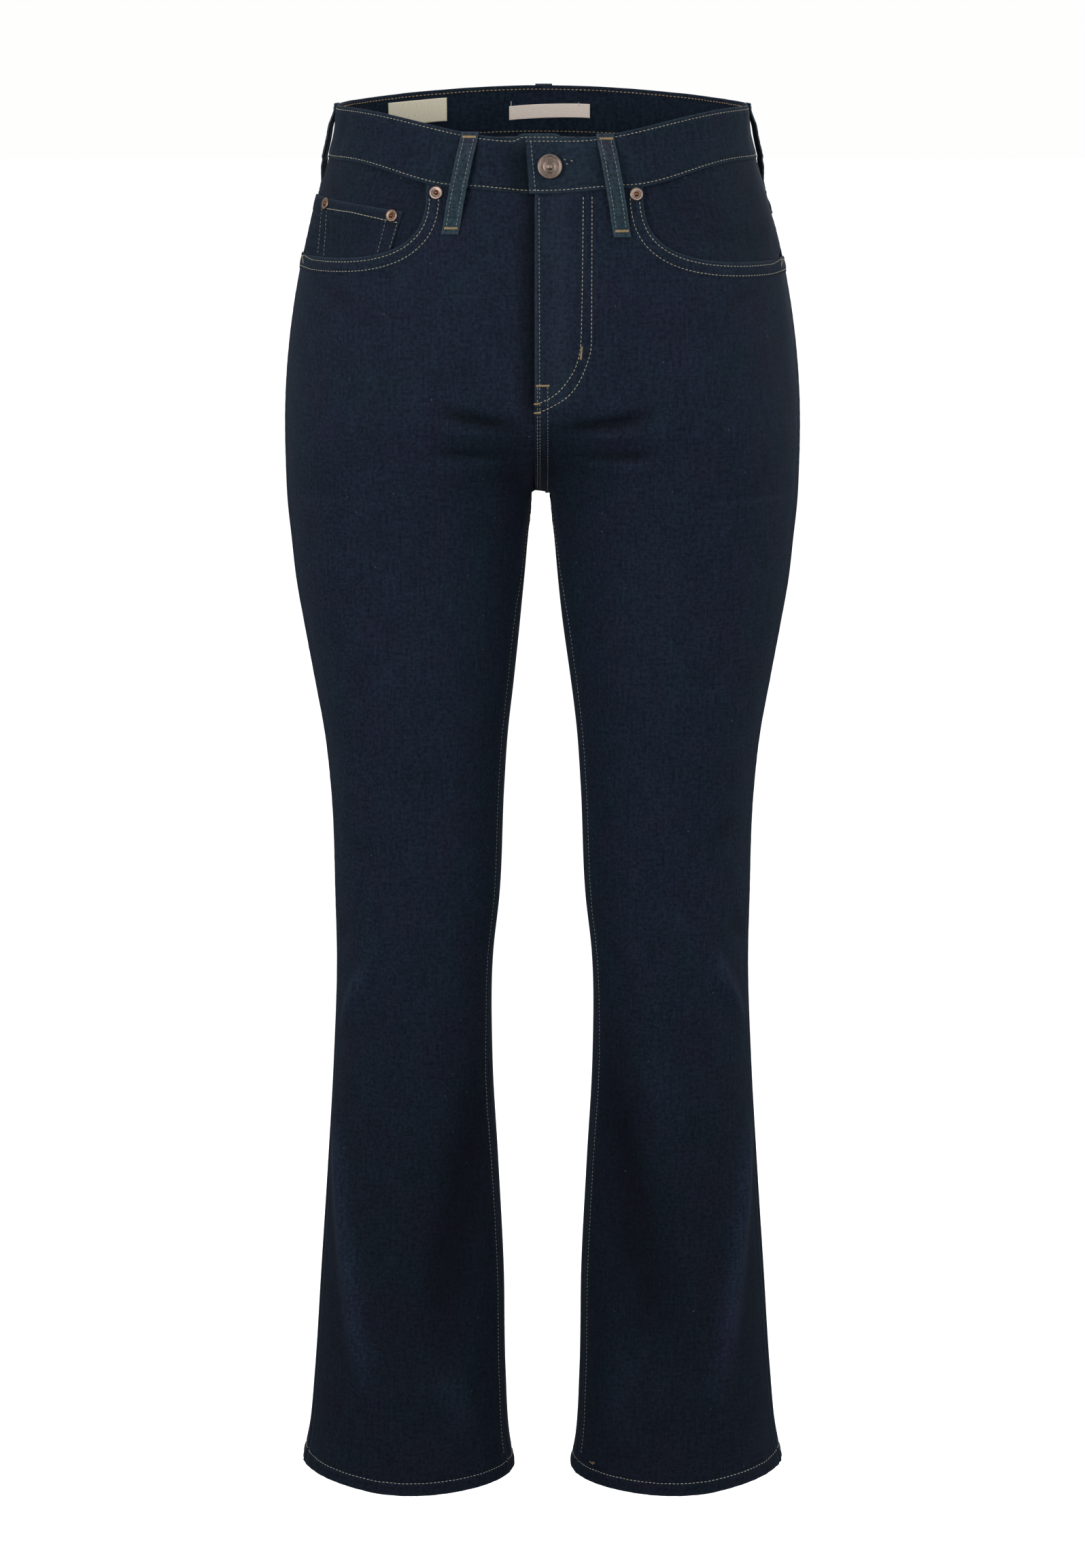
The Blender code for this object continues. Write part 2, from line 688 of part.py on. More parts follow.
def mouth_points(side):
    """The pocket mouth as seen from the front: x and z from the waist seam to the side seam."""
    angle = np.linspace(0.0, math.pi / 2, MOUTH_POINTS)
    reach = MOUTH_END - (MOUTH_END - MOUTH_TOP) * power(np.cos(angle), 2 / MOUTH_POWER)
    z = MOUTH_TOP_Z + (MOUTH_END_Z - MOUTH_TOP_Z) * power(np.sin(angle), 2 / MOUTH_POWER)
    return mouth_middle(reach) + side * reach, z


def mouth_middle(reach):
    """The two mouths mirror about the fly at their tops and about the body at the sides."""
    return CENTRE_X * (1 - smooth_step((reach - MOUTH_TOP) / (MOUTH_END - MOUTH_TOP)))


def mouth_radius(points, side):
    """1 on the pocket mouth, less inside it towards the hip."""
    reach = side * (points[..., 0] - mouth_middle(np.abs(points[..., 0])))
    across = np.clip((MOUTH_END - reach) / (MOUTH_END - MOUTH_TOP), 0.0, None)
    down = np.clip((MOUTH_TOP_Z - points[..., 2]) / (MOUTH_TOP_Z - MOUTH_END_Z), 0.0, None)
    return (across**MOUTH_POWER + down**MOUTH_POWER) ** (1 / MOUTH_POWER)


def facing_lift(name, side, points):
    """The facing is level with the front at its seams and dips under it at the pocket mouth."""
    return -FACING_DROP[name] * smooth_step(
        (mouth_radius(points, side) - FACING_DIP_START) / FACING_DIP_RUN
    )


def make_facing(name, side, grid):
    """The facing has the front panel's own points, down to just below the pocket mouth."""
    rows = int((grid[:, 0, 2] > FACING_FOOT_Z).sum()) + 1
    columns = int((np.abs(grid[0, :, 0] - CENTRE_X) > FACING_INNER).sum()) + 1
    part = grid[:rows, :columns]
    lift = facing_lift(name, side, part)
    layer_solid("pocket_facing_" + name, side, "front", part, lift, WALL, "denim_facing")


def make_watch_pocket(side, grid):
    rows = int((grid[:, 0, 2] > WATCH_FOOT_Z).sum()) + 1
    part = grid[:rows]
    lift = facing_lift("right", side, part) + SEAM + WALL
    patch = layer_solid("watch_pocket", side, "front", part, lift, WALL, "denim_facing")
    outline = (
        (WATCH_OUTER_X, WATCH_OUTER_TOP_Z),
        (WATCH_INNER_X, WATCH_INNER_TOP_Z),
        (WATCH_INNER_FOOT_X, WATCH_FOOT_Z),
        (WATCH_OUTER_X, WATCH_FOOT_Z),
    )
    cutter = prism("watch_pocket_outline", outline, CUT_FRONT_Y, WATCH_CUT_Y)
    shape_by(patch, cutter, "INTERSECT")


def make_back_pocket(name, side, grid):
    """Five sides as seen square on: a straight top, two near-upright sides and a low point."""
    middle = POCKET_MIDDLE
    foot = POCKET_MIDDLE + POCKET_SPREAD
    side_z = POCKET_TOP_Z - POCKET_SIDE_HEIGHT
    rows = int((grid[:, 0, 2] > side_z - POCKET_POINT).sum()) + 1
    part = grid[:rows]
    lift = SEAM + WALL
    patch = layer_solid("back_pocket_" + name, side, "back", part, lift, WALL, "denim")
    corners = (
        (middle - POCKET_HALF_WIDTH, POCKET_TOP_Z),
        (middle + POCKET_HALF_WIDTH, POCKET_TOP_Z + POCKET_TILT),
        (foot + POCKET_FOOT_HALF_WIDTH, side_z + POCKET_TILT),
        (foot, side_z - POCKET_POINT),
        (foot - POCKET_FOOT_HALF_WIDTH, side_z),
    )
    outline = [(side * across, z) for across, z in corners]
    cutter = prism(
        "back_pocket_outline_" + name,
        outline,
        POCKET_CUT_NEAR_Y,
        POCKET_CUT_FAR_Y,
        -side * POCKET_TURN,
    )
    shape_by(patch, cutter, "INTERSECT", "MANIFOLD")


# ---------------------------------------------------------------- waistband and belt loops


def waist_skin(angle, z, lift):
    """Points off the waist's section. Angle 0 is the left side, a right angle the front."""
    step_angle = 1e-3
    step_z = 5e-4

    def at(turned, height):
        outer = through(SECTIONS, "outer", height)
        front = through(SECTIONS, "front", height)
        back = through(SECTIONS, "back", height)
        x = outer * power(np.cos(turned), 2 / ROUNDNESS)
        y = (back - front) / 2 - (back + front) / 2 * power(np.sin(turned), 2 / ROUNDNESS)
        return np.stack(np.broadcast_arrays(x, y, height), axis=-1)

    around = at(angle - step_angle, z) - at(angle + step_angle, z)
    up = at(angle, z + step_z) - at(angle, z - step_z)
    normal = np.cross(around, up)
    normal /= np.linalg.norm(normal, axis=-1, keepdims=True)
    return at(angle, z) + normal * np.asarray(lift)[..., None]


def waist_angle(x, z):
    """The angle, near the front's middle, where the waist's section crosses x."""
    outer = through(SECTIONS, "outer", z)
    return math.pi / 2 - np.arcsin(power(x / outer, ROUNDNESS / 2))


def make_waistband():
    down = np.linspace(0.0, 1.0, BAND_ROWS)[:, None]
    share = np.linspace(0.0, 1.0, BAND_COLUMNS)
    lap_x = LAP_TOP_X + (LAP_FOOT_X - LAP_TOP_X) * down
    start = waist_angle(lap_x, 0.0)
    end = waist_angle(UNDERLAP_X, 0.0) - 2 * math.pi
    angle = start + (end - start) * share
    z = np.zeros(angle.shape)
    for _ in range(3):
        x = waist_skin(angle, z, 0.0)[..., 0]
        top = np.where(np.sin(angle) > 0, *(edge_height(BAND_TOP, f, x) for f in ("front", "back")))
        foot = np.where(np.sin(angle) > 0, *(edge_height(WAIST_SEAM, f, x) for f in ("front", "back")))
        z = top + (foot + SEAM / 2 - top) * down
    tucked = smooth_step((x - UNDERLAP_START_X) / (UNDERLAP_SET_X - UNDERLAP_START_X))
    tucked = np.where(angle < -math.pi, tucked, 0.0)
    lift = BAND_RISE - (BAND_WALL + LAP_GAP) * tucked
    outer = waist_skin(angle, z, lift)
    inner = waist_skin(angle, z, lift - BAND_WALL)
    cloth_solid("waistband", outer, inner, "denim")


def make_belt_loop(loop):
    """A strap tacked to the band's top edge and below its seam, bowed out between."""
    side = loop["side"]
    face = loop["face"]
    near_x = loop["top"] * WAIST_HALF_WIDTH
    top_z = float(edge_height(BAND_TOP, face, near_x))
    seam_z = float(edge_height(WAIST_SEAM, face, near_x))
    share = np.linspace(0.0, 1.0, LOOP_ROWS)[:, None]
    z = top_z - LOOP_LENGTH * share
    x = side * (loop["top"] + (loop["foot"] - loop["top"]) * share) * through(SECTIONS, "outer", z)
    free = np.clip((share - LOOP_TACK) / LOOP_FREE, 0.0, 1.0)
    bow = LOOP_BOW * smooth_step(LOOP_FLATNESS * np.sin(math.pi * free))
    seat = SEAM + BAND_RISE * smooth_step((z - seam_z + LOOP_STEP_DROP) / LOOP_STEP_RUN)
    lift = seat + bow
    turn = turn_at_x(side, face, z, x)
    foot = skin(side, z, turn, 0.0)[:, 0]
    out = skin(side, z, turn, 1.0)[:, 0] - foot
    level = np.cross(out, (0.0, 0.0, 1.0))
    level /= np.linalg.norm(level, axis=1, keepdims=True)
    edges = np.stack([foot - level * LOOP_WIDTH / 2, foot + level * LOOP_WIDTH / 2], axis=1)
    outer = edges + out[:, None] * (lift + LOOP_WALL)[..., None]
    inner = edges + out[:, None] * lift[..., None]
    cloth_solid(loop["name"], outer, inner, "loop_denim")


# ---------------------------------------------------------------- fly, trims and labels


def front_patch(name, x, z, lift, wall, material):
    """A patch at the centre front, placed by x, which may cross the centre seam."""
    x, z, lift, wall = np.broadcast_arrays(x, z, lift, wall)
    right = x < CENTRE_X
    outer = np.zeros(x.shape + (3,))
    inner = np.zeros(x.shape + (3,))
    for side, here in ((-1, right), (1, ~right)):
        turn = turn_at_x(side, "front", z[here], x[here])
        outer[here] = skin(side, z[here], turn, lift[here])
        inner[here] = skin(side, z[here], turn, (lift - wall)[here])
    cloth_solid(name, outer, inner, material)


def make_fly():
    down = np.linspace(0.0, 1.0, FLY_ROWS)[:, None]
    x = np.linspace(SHIELD_INNER_X, SHIELD_OUTER_X, SHIELD_COLUMNS)
    top_z = edge_height(WAIST_SEAM, "front", x) - SEAM / 2
    foot_z = SHIELD_FOOT_Z + SHIELD_ROUND * (x - SHIELD_INNER_X) ** 2
    front_patch("fly_shield", x, top_z + (foot_z - top_z) * down, SHIELD_LIFT, WALL, "denim")

    x = CENTRE_X + column(TAPE_COLUMNS, "x")
    z = TAPE_TOP_Z + (TAPE_FOOT_Z - TAPE_TOP_Z) * down
    lift = column(TAPE_COLUMNS, "lift")
    front_patch("zip_tape", x, z, lift, column(TAPE_COLUMNS, "wall"), "zip_tape")

    z = column(SLIDER_ROWS, "z")[:, None]
    x = CENTRE_X + column(SLIDER_ROWS, "half")[:, None] * np.array([-1.0, 0.0, 1.0])
    front_patch("zip_slider", x, z, SLIDER_LIFT, SLIDER_WALL, "zip_metal")


def make_turned(name, profile, place, normal, material):
    """A turned piece standing on the cloth, its axis along the normal."""
    mesh = bpy.data.meshes.new(name)
    points = [(row["radius"], 0.0, row["height"]) for row in rows_of(profile)]
    mesh.from_pydata(points, [(i, i + 1) for i in range(len(points) - 1)], [])
    mesh.materials.append(bpy.data.materials[material])
    turned = bpy.data.objects.new(name, mesh)
    bpy.data.collections[COLLECTION].objects.link(turned)
    screw = turned.modifiers.new("turned", "SCREW")
    screw.steps = TURNED_STEPS
    screw.render_steps = TURNED_STEPS
    screw.use_merge_vertices = True
    screw.merge_threshold = 1e-5
    screw.use_smooth_shade = True
    turn = Vector((0.0, 0.0, 1.0)).rotation_difference(normal)
    turned.matrix_world = Matrix.Translation(place) @ turn.to_matrix().to_4x4()


def spot_on(piece, x, z):
    """The point of a piece's face that shows at x and z from the front, and its normal."""
    mesh = bpy.data.objects[piece].data
    corners = [vertex.co for vertex in mesh.vertices]
    tree = BVHTree.FromPolygons(corners, [face.vertices for face in mesh.polygons])
    place, normal, _, _ = tree.ray_cast(Vector((x, -1.0, z)), Vector((0.0, 1.0, 0.0)))
    return place, normal


def make_button():
    place, normal = spot_on("waistband", BUTTON_X, BUTTON_Z)
    make_turned("button", BUTTON_PROFILE, place + normal * SEAM, normal, "button_metal")


def make_rivets():
    for rivet in rows_of(RIVETS):
        place, normal = spot_on(rivet["on"], rivet["x"], rivet["z"])
        seat = place + normal * rivet["seat"]
        make_turned(rivet["name"], RIVET_PROFILE, seat, normal, "rivet_copper")


def make_label(label, material):
    """A label sewn flat on the inside of the back waistband."""
    across = np.linspace(0.0, 1.0, LABEL_COLUMNS)
    down = np.linspace(0.0, 1.0, LABEL_ROWS)[:, None]
    x = label["left"] + (label["right"] - label["left"]) * across
    top = label["top_left"] + (label["top_right"] - label["top_left"]) * across
    z = top - label["height"] * down
    angle = -waist_angle(x, z)
    lift = BAND_RISE - BAND_WALL - SEAM
    outer = waist_skin(angle, z, lift)
    inner = waist_skin(angle, z, lift - LABEL_WALL)
    cloth_solid(label["name"], outer, inner, material)


# ---------------------------------------------------------------- the whole garment


def clear_scene():
    for found in list(bpy.data.objects):
        bpy.data.objects.remove(found, do_unlink=True)


def make_collections():
    for name in (COLLECTION, CUTTER_COLLECTION):
        bpy.context.scene.collection.children.link(bpy.data.collections.new(name))


def make_materials():
    for name, (colour, roughness, metallic) in MATERIALS.items():
        material = bpy.data.materials.new(name)
        material.use_nodes = True
        shader = material.node_tree.nodes["Principled BSDF"]
        shader.inputs["Base Color"].default_value = (*colour, 1.0)
        shader.inputs["Roughness"].default_value = roughness
        shader.inputs["Metallic"].default_value = metallic


def main():
    clear_scene()
    make_collections()
    make_materials()
    for name, side in SIDES.items():
        make_front(name, side)
        make_back(name, side)
    make_waistband()
    for loop in rows_of(LOOPS):
        make_belt_loop(loop)
    make_fly()
    make_button()
    make_rivets()
    for label, material in zip(rows_of(LABELS), ("cream_label", "white_label")):
        make_label(label, material)


main()
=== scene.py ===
import math

import bmesh
import bpy
import numpy as np
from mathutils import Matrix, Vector
from mathutils.bvhtree import BVHTree


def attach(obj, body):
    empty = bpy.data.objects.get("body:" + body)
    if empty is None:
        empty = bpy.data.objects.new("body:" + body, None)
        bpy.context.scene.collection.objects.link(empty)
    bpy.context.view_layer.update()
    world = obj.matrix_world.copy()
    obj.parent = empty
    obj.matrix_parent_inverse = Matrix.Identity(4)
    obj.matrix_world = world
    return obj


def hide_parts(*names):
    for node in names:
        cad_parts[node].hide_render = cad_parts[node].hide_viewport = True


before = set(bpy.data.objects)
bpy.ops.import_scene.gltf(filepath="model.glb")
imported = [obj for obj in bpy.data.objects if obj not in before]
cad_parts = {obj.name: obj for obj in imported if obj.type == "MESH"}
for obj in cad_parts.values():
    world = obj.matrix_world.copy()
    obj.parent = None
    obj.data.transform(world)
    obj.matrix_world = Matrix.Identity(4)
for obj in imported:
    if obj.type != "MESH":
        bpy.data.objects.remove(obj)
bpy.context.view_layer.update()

# ------------------------------------------------------------------ sizes, in metres
# The body's sections are the frame's own: +Z up, the front faces -Y, +X is the wearer's left.

SIDES = (("right", -1), ("left", 1))
WALL = 0.0014
HEM_WALL = 0.003
BAND_WALL = 0.0026
LOOP_WALL = 0.0018
BAND_RISE = 0.0009
WAIST_HALF_WIDTH = 0.15
BAND_TOP = {"side": 0.0, "front": -0.0183, "back": 0.0106}
WAIST_SEAM = {"side": -0.0362, "front": -0.0556, "back": -0.028}
BACK_DIP_POWER = 1.8
CENTRE_X = -0.0053
CENTRE_RUN = 0.004
CROTCH_Z = -0.267
CROTCH_Y = -0.005
CROTCH_FILL = 0.0018
CROTCH_SHARPNESS = 0.8
CROTCH_CORNER = 5.0
LAP_RUN = 0.0105
LAP_SHARE = 0.16
ROUNDING_HEIGHT = 0.07
GAP_SHIFT = 0.001
GRAIN_X = 0.085
GRAIN_APART = 0.37
EVEN_REACH = 0.026
RISE_START = {"front": -0.197, "back": -0.14}
SETTLE_HEIGHT = 0.1
OUTSEAM_TURN = 0.26
OUTSEAM_START_Z = -0.06
OUTSEAM_RUN = 0.24
INSEAM_TURN = 0.3
ROUNDNESS = 2.15
HEM_Z = -0.989
# Seam allowances that run on under the next piece: how far, and how deep they are sunk.
SIDE_LIP = 0.0022
SIDE_SINK = 0.0018
FRONT_LIP = 0.0028
NO_LIP = 0.00002
YOKE_SIDE_Z = -0.075
YOKE_CENTRE_Z = -0.1
HIGH_Z = -0.262
POLYLINE_POINTS = 90

SECTIONS = (
    ("z", "outer", "inner", "front", "back", "crest"),
    (0.015, 0.1395, 0.0062, 0.096, 0.088, 0.0),
    (0.0, 0.1415, 0.0062, 0.098, 0.09, 0.0),
    (-0.019, 0.1435, 0.0062, 0.1, 0.0925, 0.0),
    (-0.037, 0.148, 0.0062, 0.1025, 0.0955, 0.0),
    (-0.06, 0.155, 0.0062, 0.1055, 0.099, 0.0),
    (-0.1, 0.1659, 0.0062, 0.1095, 0.107, 0.016),
    (-0.15, 0.1752, 0.0062, 0.1105, 0.119, 0.045),
    (-0.2, 0.1803, 0.0062, 0.108, 0.127, 0.072),
    (-0.25, 0.1809, 0.0062, 0.102, 0.119, 0.088),
    (-0.275, 0.1798, 0.0067, 0.097, 0.107, 0.093),
    (-0.3, 0.1772, 0.0091, 0.092, 0.096, 0.0935),
    (-0.33, 0.1739, 0.0118, 0.089, 0.087, 0.093),
    (-0.36, 0.1687, 0.0149, 0.0865, 0.08, 0.092),
    (-0.4, 0.1614, 0.0198, 0.083, 0.072, 0.091),
    (-0.44, 0.1545, 0.0245, 0.0785, 0.066, 0.0895),
    (-0.48, 0.1506, 0.0272, 0.0735, 0.0615, 0.089),
    (-0.56, 0.1484, 0.0308, 0.065, 0.0565, 0.0895),
    (-0.6, 0.1478, 0.0352, 0.062, 0.056, 0.0915),
    (-0.68, 0.151, 0.0361, 0.056, 0.061, 0.0935),
    (-0.76, 0.1562, 0.0321, 0.053, 0.067, 0.094),
    (-0.84, 0.1619, 0.0283, 0.0535, 0.07, 0.095),
    (-0.92, 0.1675, 0.027, 0.058, 0.071, 0.097),
    (-0.965, 0.1719, 0.0245, 0.061, 0.072, 0.098),
    (-0.989, 0.1762, 0.0208, 0.063, 0.073, 0.0985),
)

# Bands of rows on a leg panel, by their ends on the side seam and on the inner edge.
FRONT_BANDS = ((-0.128, -0.15), (-0.17, -0.197), (-0.24, -0.255), (HIGH_Z, CROTCH_Z))
BACK_BANDS = ((-0.123, -0.14), (-0.17, -0.18), (-0.24, -0.255), (HIGH_Z, CROTCH_Z))
LEG_BANDS = (
    (-0.2637, -0.26704),
    (-0.2655, -0.2671),
    (-0.2672, -0.2673),
    (-0.269, -0.2677),
    (-0.2708, -0.2682),
    (-0.2725, -0.2689),
    (-0.2743, -0.2698),
    (-0.3, -0.285),
    (-0.4, -0.39),
    (-0.58, -0.58),
    (-0.665, -0.665),
    (-0.8, -0.8),
    (-0.965, -0.965),
)
ROW_STEP = {"high": 0.0026, "low": 0.0042}
HEM_LINE = (
    ("share", "front", "back"),
    (0.0, 0.0043, 0.0043),
    (0.08, 0.004, 0.0036),
    (0.16, 0.003, 0.0026),
    (0.24, 0.0016, 0.0016),
    (0.32, -0.0002, 0.0008),
    (0.4, -0.0022, 0.0),
    (0.5, -0.0032, -0.0008),
    (0.6, -0.0033, -0.0014),
    (0.75, -0.0028, -0.002),
    (0.88, -0.0026, -0.0024),
    (1.0, -0.0026, -0.0026),
)
HEM_ROWS = (0.0205, 0.0175, 0.015, 0.013, 0.0115, 0.0104, 0.0094, 0.0085, 0.0076, 0.0064, 0.005)
HEM_ROWS += (0.0036, 0.0024, 0.0015, 0.0008, 0.0003, 0.0)
# The front's rows below its curved top edge: the first by distance, the rest spread evenly.
TOP_ROWS = (0.0, 0.0004, 0.0009, 0.0016, 0.0026, 0.004)
FAN_ROWS = 36
EDGE_COLUMNS = (0.0, 0.0004, 0.001, 0.0018, 0.0028, 0.0042, 0.006, 0.0082)
FRONT_COLUMNS = 86
BACK_COLUMNS = 92

# Folds, as lines on the cloth seen from the front or the back: ends, how far the middle bows
# up, half-width, height (below zero is a trough) and how much of each end fades.
FOLDS = (
    ("side", "face", "x1", "z1", "x2", "z2", "bow", "width", "height", "fade"),
    (-1, "front", -0.082, -0.199, -0.007, -0.215, -0.002, 0.0057, -0.0036, 0.52),
    (-1, "front", -0.09, -0.2145, -0.02, -0.2215, 0.0015, 0.006, 0.0015, 0.5),
    (-1, "front", -0.08, -0.231, -0.0065, -0.237, -0.0015, 0.0046, -0.0054, 0.38),
    (-1, "front", -0.086, -0.24, -0.02, -0.245, -0.001, 0.007, 0.0014, 0.5),
    (-1, "front", -0.045, -0.248, -0.008, -0.256, -0.001, 0.005, -0.0016, 0.5),
    (1, "front", 0.086, -0.2, 0.001, -0.2165, -0.0035, 0.005, -0.004, 0.48),
    (1, "front", 0.08, -0.216, 0.016, -0.2215, -0.001, 0.006, 0.0016, 0.5),
    (1, "front", 0.085, -0.231, 0.003, -0.2365, -0.0035, 0.0046, -0.0054, 0.4),
    (1, "front", 0.086, -0.245, 0.02, -0.244, 0.002, 0.007, 0.0014, 0.5),
    (1, "front", 0.042, -0.25, 0.0, -0.249, 0.002, 0.005, -0.0015, 0.5),
    (-1, "front", -0.12, -0.593, -0.1455, -0.656, 0.002, 0.0058, 0.003, 0.45),
    (-1, "front", -0.133, -0.57, -0.148, -0.59, 0.0, 0.008, -0.0016, 0.5),
    (1, "front", 0.113, -0.578, 0.1475, -0.656, 0.002, 0.0058, 0.003, 0.45),
    (1, "front", 0.13, -0.56, 0.148, -0.595, 0.0, 0.008, -0.0016, 0.5),
    (-1, "front", -0.15, -0.69, -0.123, -0.945, 0.005, 0.0085, 0.004, 0.3),
    (1, "front", 0.149, -0.69, 0.1225, -0.945, 0.005, 0.008, 0.004, 0.3),
    (-1, "front", -0.04, -0.635, -0.09, -0.92, -0.008, 0.02, -0.0034, 0.4),
    (1, "front", 0.043, -0.615, 0.096, -0.92, -0.008, 0.02, -0.0034, 0.4),
    (-1, "front", -0.068, -0.885, -0.048, -0.97, 0.003, 0.013, 0.0014, 0.4),
    (1, "front", 0.064, -0.87, 0.042, -0.965, 0.003, 0.013, 0.0014, 0.4),
    (1, "front", 0.064, -0.66, 0.1, -0.74, 0.004, 0.012, 0.0013, 0.5),
    (-1, "front", -0.156, -0.118, -0.125, -0.136, 0.002, 0.006, -0.0012, 0.5),
    (1, "front", 0.156, -0.118, 0.122, -0.139, 0.002, 0.006, -0.0012, 0.5),
    (-1, "front", -0.145, -0.505, -0.115, -0.53, 0.002, 0.008, -0.0012, 0.5),
    (1, "front", 0.144, -0.49, 0.112, -0.518, 0.002, 0.008, -0.0012, 0.5),
    (-1, "back", -0.15, -0.27, -0.025, -0.295, -0.006, 0.0085, -0.0038, 0.4),
    (-1, "back", -0.145, -0.29, -0.04, -0.313, -0.005, 0.008, 0.002, 0.45),
    (-1, "back", -0.135, -0.312, -0.035, -0.333, -0.004, 0.008, -0.0024, 0.45),
    (1, "back", 0.148, -0.274, 0.022, -0.299, -0.006, 0.0085, -0.0038, 0.4),
    (1, "back", 0.143, -0.295, 0.042, -0.318, -0.005, 0.008, 0.002, 0.45),
    (1, "back", 0.136, -0.316, 0.036, -0.338, -0.004, 0.008, -0.0024, 0.45),
    (-1, "back", -0.142, -0.575, -0.048, -0.605, -0.006, 0.0085, -0.0034, 0.4),
    (-1, "back", -0.143, -0.598, -0.06, -0.628, -0.005, 0.008, 0.0022, 0.45),
    (-1, "back", -0.138, -0.624, -0.052, -0.648, -0.004, 0.008, -0.0022, 0.45),
    (-1, "back", -0.098, -0.545, -0.045, -0.565, -0.003, 0.0075, -0.0018, 0.45),
    (1, "back", 0.141, -0.581, 0.05, -0.611, -0.006, 0.0085, -0.0034, 0.4),
    (1, "back", 0.143, -0.604, 0.062, -0.633, -0.005, 0.008, 0.0022, 0.45),
    (1, "back", 0.139, -0.631, 0.054, -0.653, -0.004, 0.008, -0.0022, 0.45),
    (1, "back", 0.1, -0.55, 0.046, -0.571, -0.003, 0.0075, -0.0018, 0.45),
    (-1, "back", -0.135, -0.695, -0.115, -0.93, 0.004, 0.014, 0.0034, 0.35),
    (1, "back", 0.134, -0.7, 0.116, -0.93, 0.004, 0.014, 0.0034, 0.35),
    (-1, "back", -0.06, -0.7, -0.08, -0.93, 0.004, 0.017, -0.0028, 0.35),
    (1, "back", 0.061, -0.705, 0.08, -0.93, 0.004, 0.017, -0.0028, 0.35),
    (-1, "back", -0.078, -0.248, -0.023, -0.262, -0.003, 0.007, 0.0016, 0.45),
    (1, "back", 0.076, -0.25, 0.021, -0.264, -0.003, 0.007, 0.0016, 0.45),
)

# Pocket mouths, facings, watch pocket and back pockets.
MOUTH_TOP = 0.0731
MOUTH_END = 0.165
MOUTH_TOP_Z = -0.0511
MOUTH_END_Z = {-1: -0.1012, 1: -0.104}
MOUTH_POWER = 3.0
FACING_INNER = 0.06
FACING_FOOT_Z = -0.118
FACING_DROP = {-1: 0.0038, 1: 0.0026}
FACING_DIP_START = 0.45
FACING_DIP_RUN = 0.4
TUCK = 0.003
WATCH_TOP_Z = -0.0606
WATCH_SLOPE = 0.0072
WATCH_FOOT_Z = -0.114
POCKET_TURN = 0.5
POCKET_MIDDLE = 0.033
POCKET_TOP_Z = -0.12
POCKET_TILT = 0.006
POCKET_HALF_WIDTH = 0.064
POCKET_FOOT_HALF_WIDTH = 0.055
POCKET_SIDE_HEIGHT = 0.112
POCKET_POINT = 0.022
POCKET_SPREAD = 0.004

# Waistband ends and belt loops.
BAND_ROUND = 0.79
BAND_DEPTH = 0.0352
BAND_EDGE = (0.0, 0.0003, 0.0008, 0.0014, 0.0022, 0.0032, 0.0045, 0.0062)
LAP_EDGE = (0.0, 0.0004, 0.0009, 0.0016, 0.0026, 0.004, 0.006)
LAP_TOP_X = -0.0112
LAP_FOOT_X = -0.0082
UNDERLAP_X = 0.028
UNDERLAP_START_X = -0.027
UNDERLAP_SET_X = -0.012
LAP_GAP = 0.0004
LOOP_WIDTH = 0.012
LOOP_BOW = 0.0034
LOOP_TACK = 0.06
LOOP_FREE = 0.84
LOOP_FLATNESS = 1.25
LOOPS = (
    ("name", "face", "side", "top", "foot", "length"),
    ("belt_loop_front_right", "front", -1, 0.3375, 0.385, 0.0676),
    ("belt_loop_front_left", "front", 1, 0.2905, 0.331, 0.0682),
    ("belt_loop_side_right", "back", -1, 0.995, 0.985, 0.0625),
    ("belt_loop_side_left", "back", 1, 0.995, 0.985, 0.0625),
    ("belt_loop_back", "back", 1, 0.006, 0.006, 0.0625),
)

# Stitches: length of one, distance between starts, the thread's radius, and how far each row
# of stitches, with its channel in the cloth, lies from the edge it follows.
STITCH = 0.0019
PITCH = 0.0029
THREAD = 0.0003
TACK_PITCH = 0.00042
TACK_THREAD = 0.00026
HEM_STITCH = 0.0092
INSEAM_STITCH = 0.0042
MOUTH_STITCHES = (0.0029, 0.0094)
YOKE_STITCHES = (0.002, 0.0084)
SEAT_STITCHES = (0.0022, 0.0082)
BAND_STITCH = 0.0024
LOOP_STITCH = 0.0026
POCKET_RIM_STITCHES = (0.002, 0.008)
POCKET_TOP_STITCHES = (0.0024, 0.0115)
BUTTONHOLE_THREADS = (
    ((0.0141, -0.0325), (0.0158, -0.033)),
    ((0.0156, -0.0352), (0.0172, -0.0359)),
    ((0.0188, -0.0333), (0.0204, -0.0338)),
)
HEM_KNOT = (0.0343, -0.977)

# Where each piece's cloth starts across the weave, so that no two pieces look alike.
WEAVE = {"back": 0.6, "yoke": 0.9, "facing": 1.3, "watch": 1.7}
WEAVE.update(pocket=2.1, band=2.6, loop=3.6, fly=4.1)

# ------------------------------------------------------------------ curves and sections


def rows_of(table):
    names = table[0]
    return [dict(zip(names, row)) for row in table[1:]]


def smooth_step(value):
    value = np.clip(value, 0.0, 1.0)
    return value * value * (3.0 - 2.0 * value)


def past(value, start, run):
    """0 up to start and 1 from start + run on, with a soft step in between."""
    return smooth_step((value - start) / run)


def short_of(value, level, run):
    """The other way round: 0 above level, and 1 from level - run on down."""
    return smooth_step((level - value) / run)


def bell(value, at, width):
    """A smooth bump, 1 high, that fades over width on both sides."""
    return np.exp(-(((value - at) / width) ** 2))


def unit(vectors):
    return vectors / np.maximum(np.linalg.norm(vectors, axis=-1, keepdims=True), 1e-12)


def lengths(points, axis=0):
    return np.linalg.norm(np.diff(points, axis=axis), axis=-1)


def run_along(points):
    """How far along a polyline each of its points is."""
    return np.concatenate([[0.0], np.cumsum(lengths(points))])


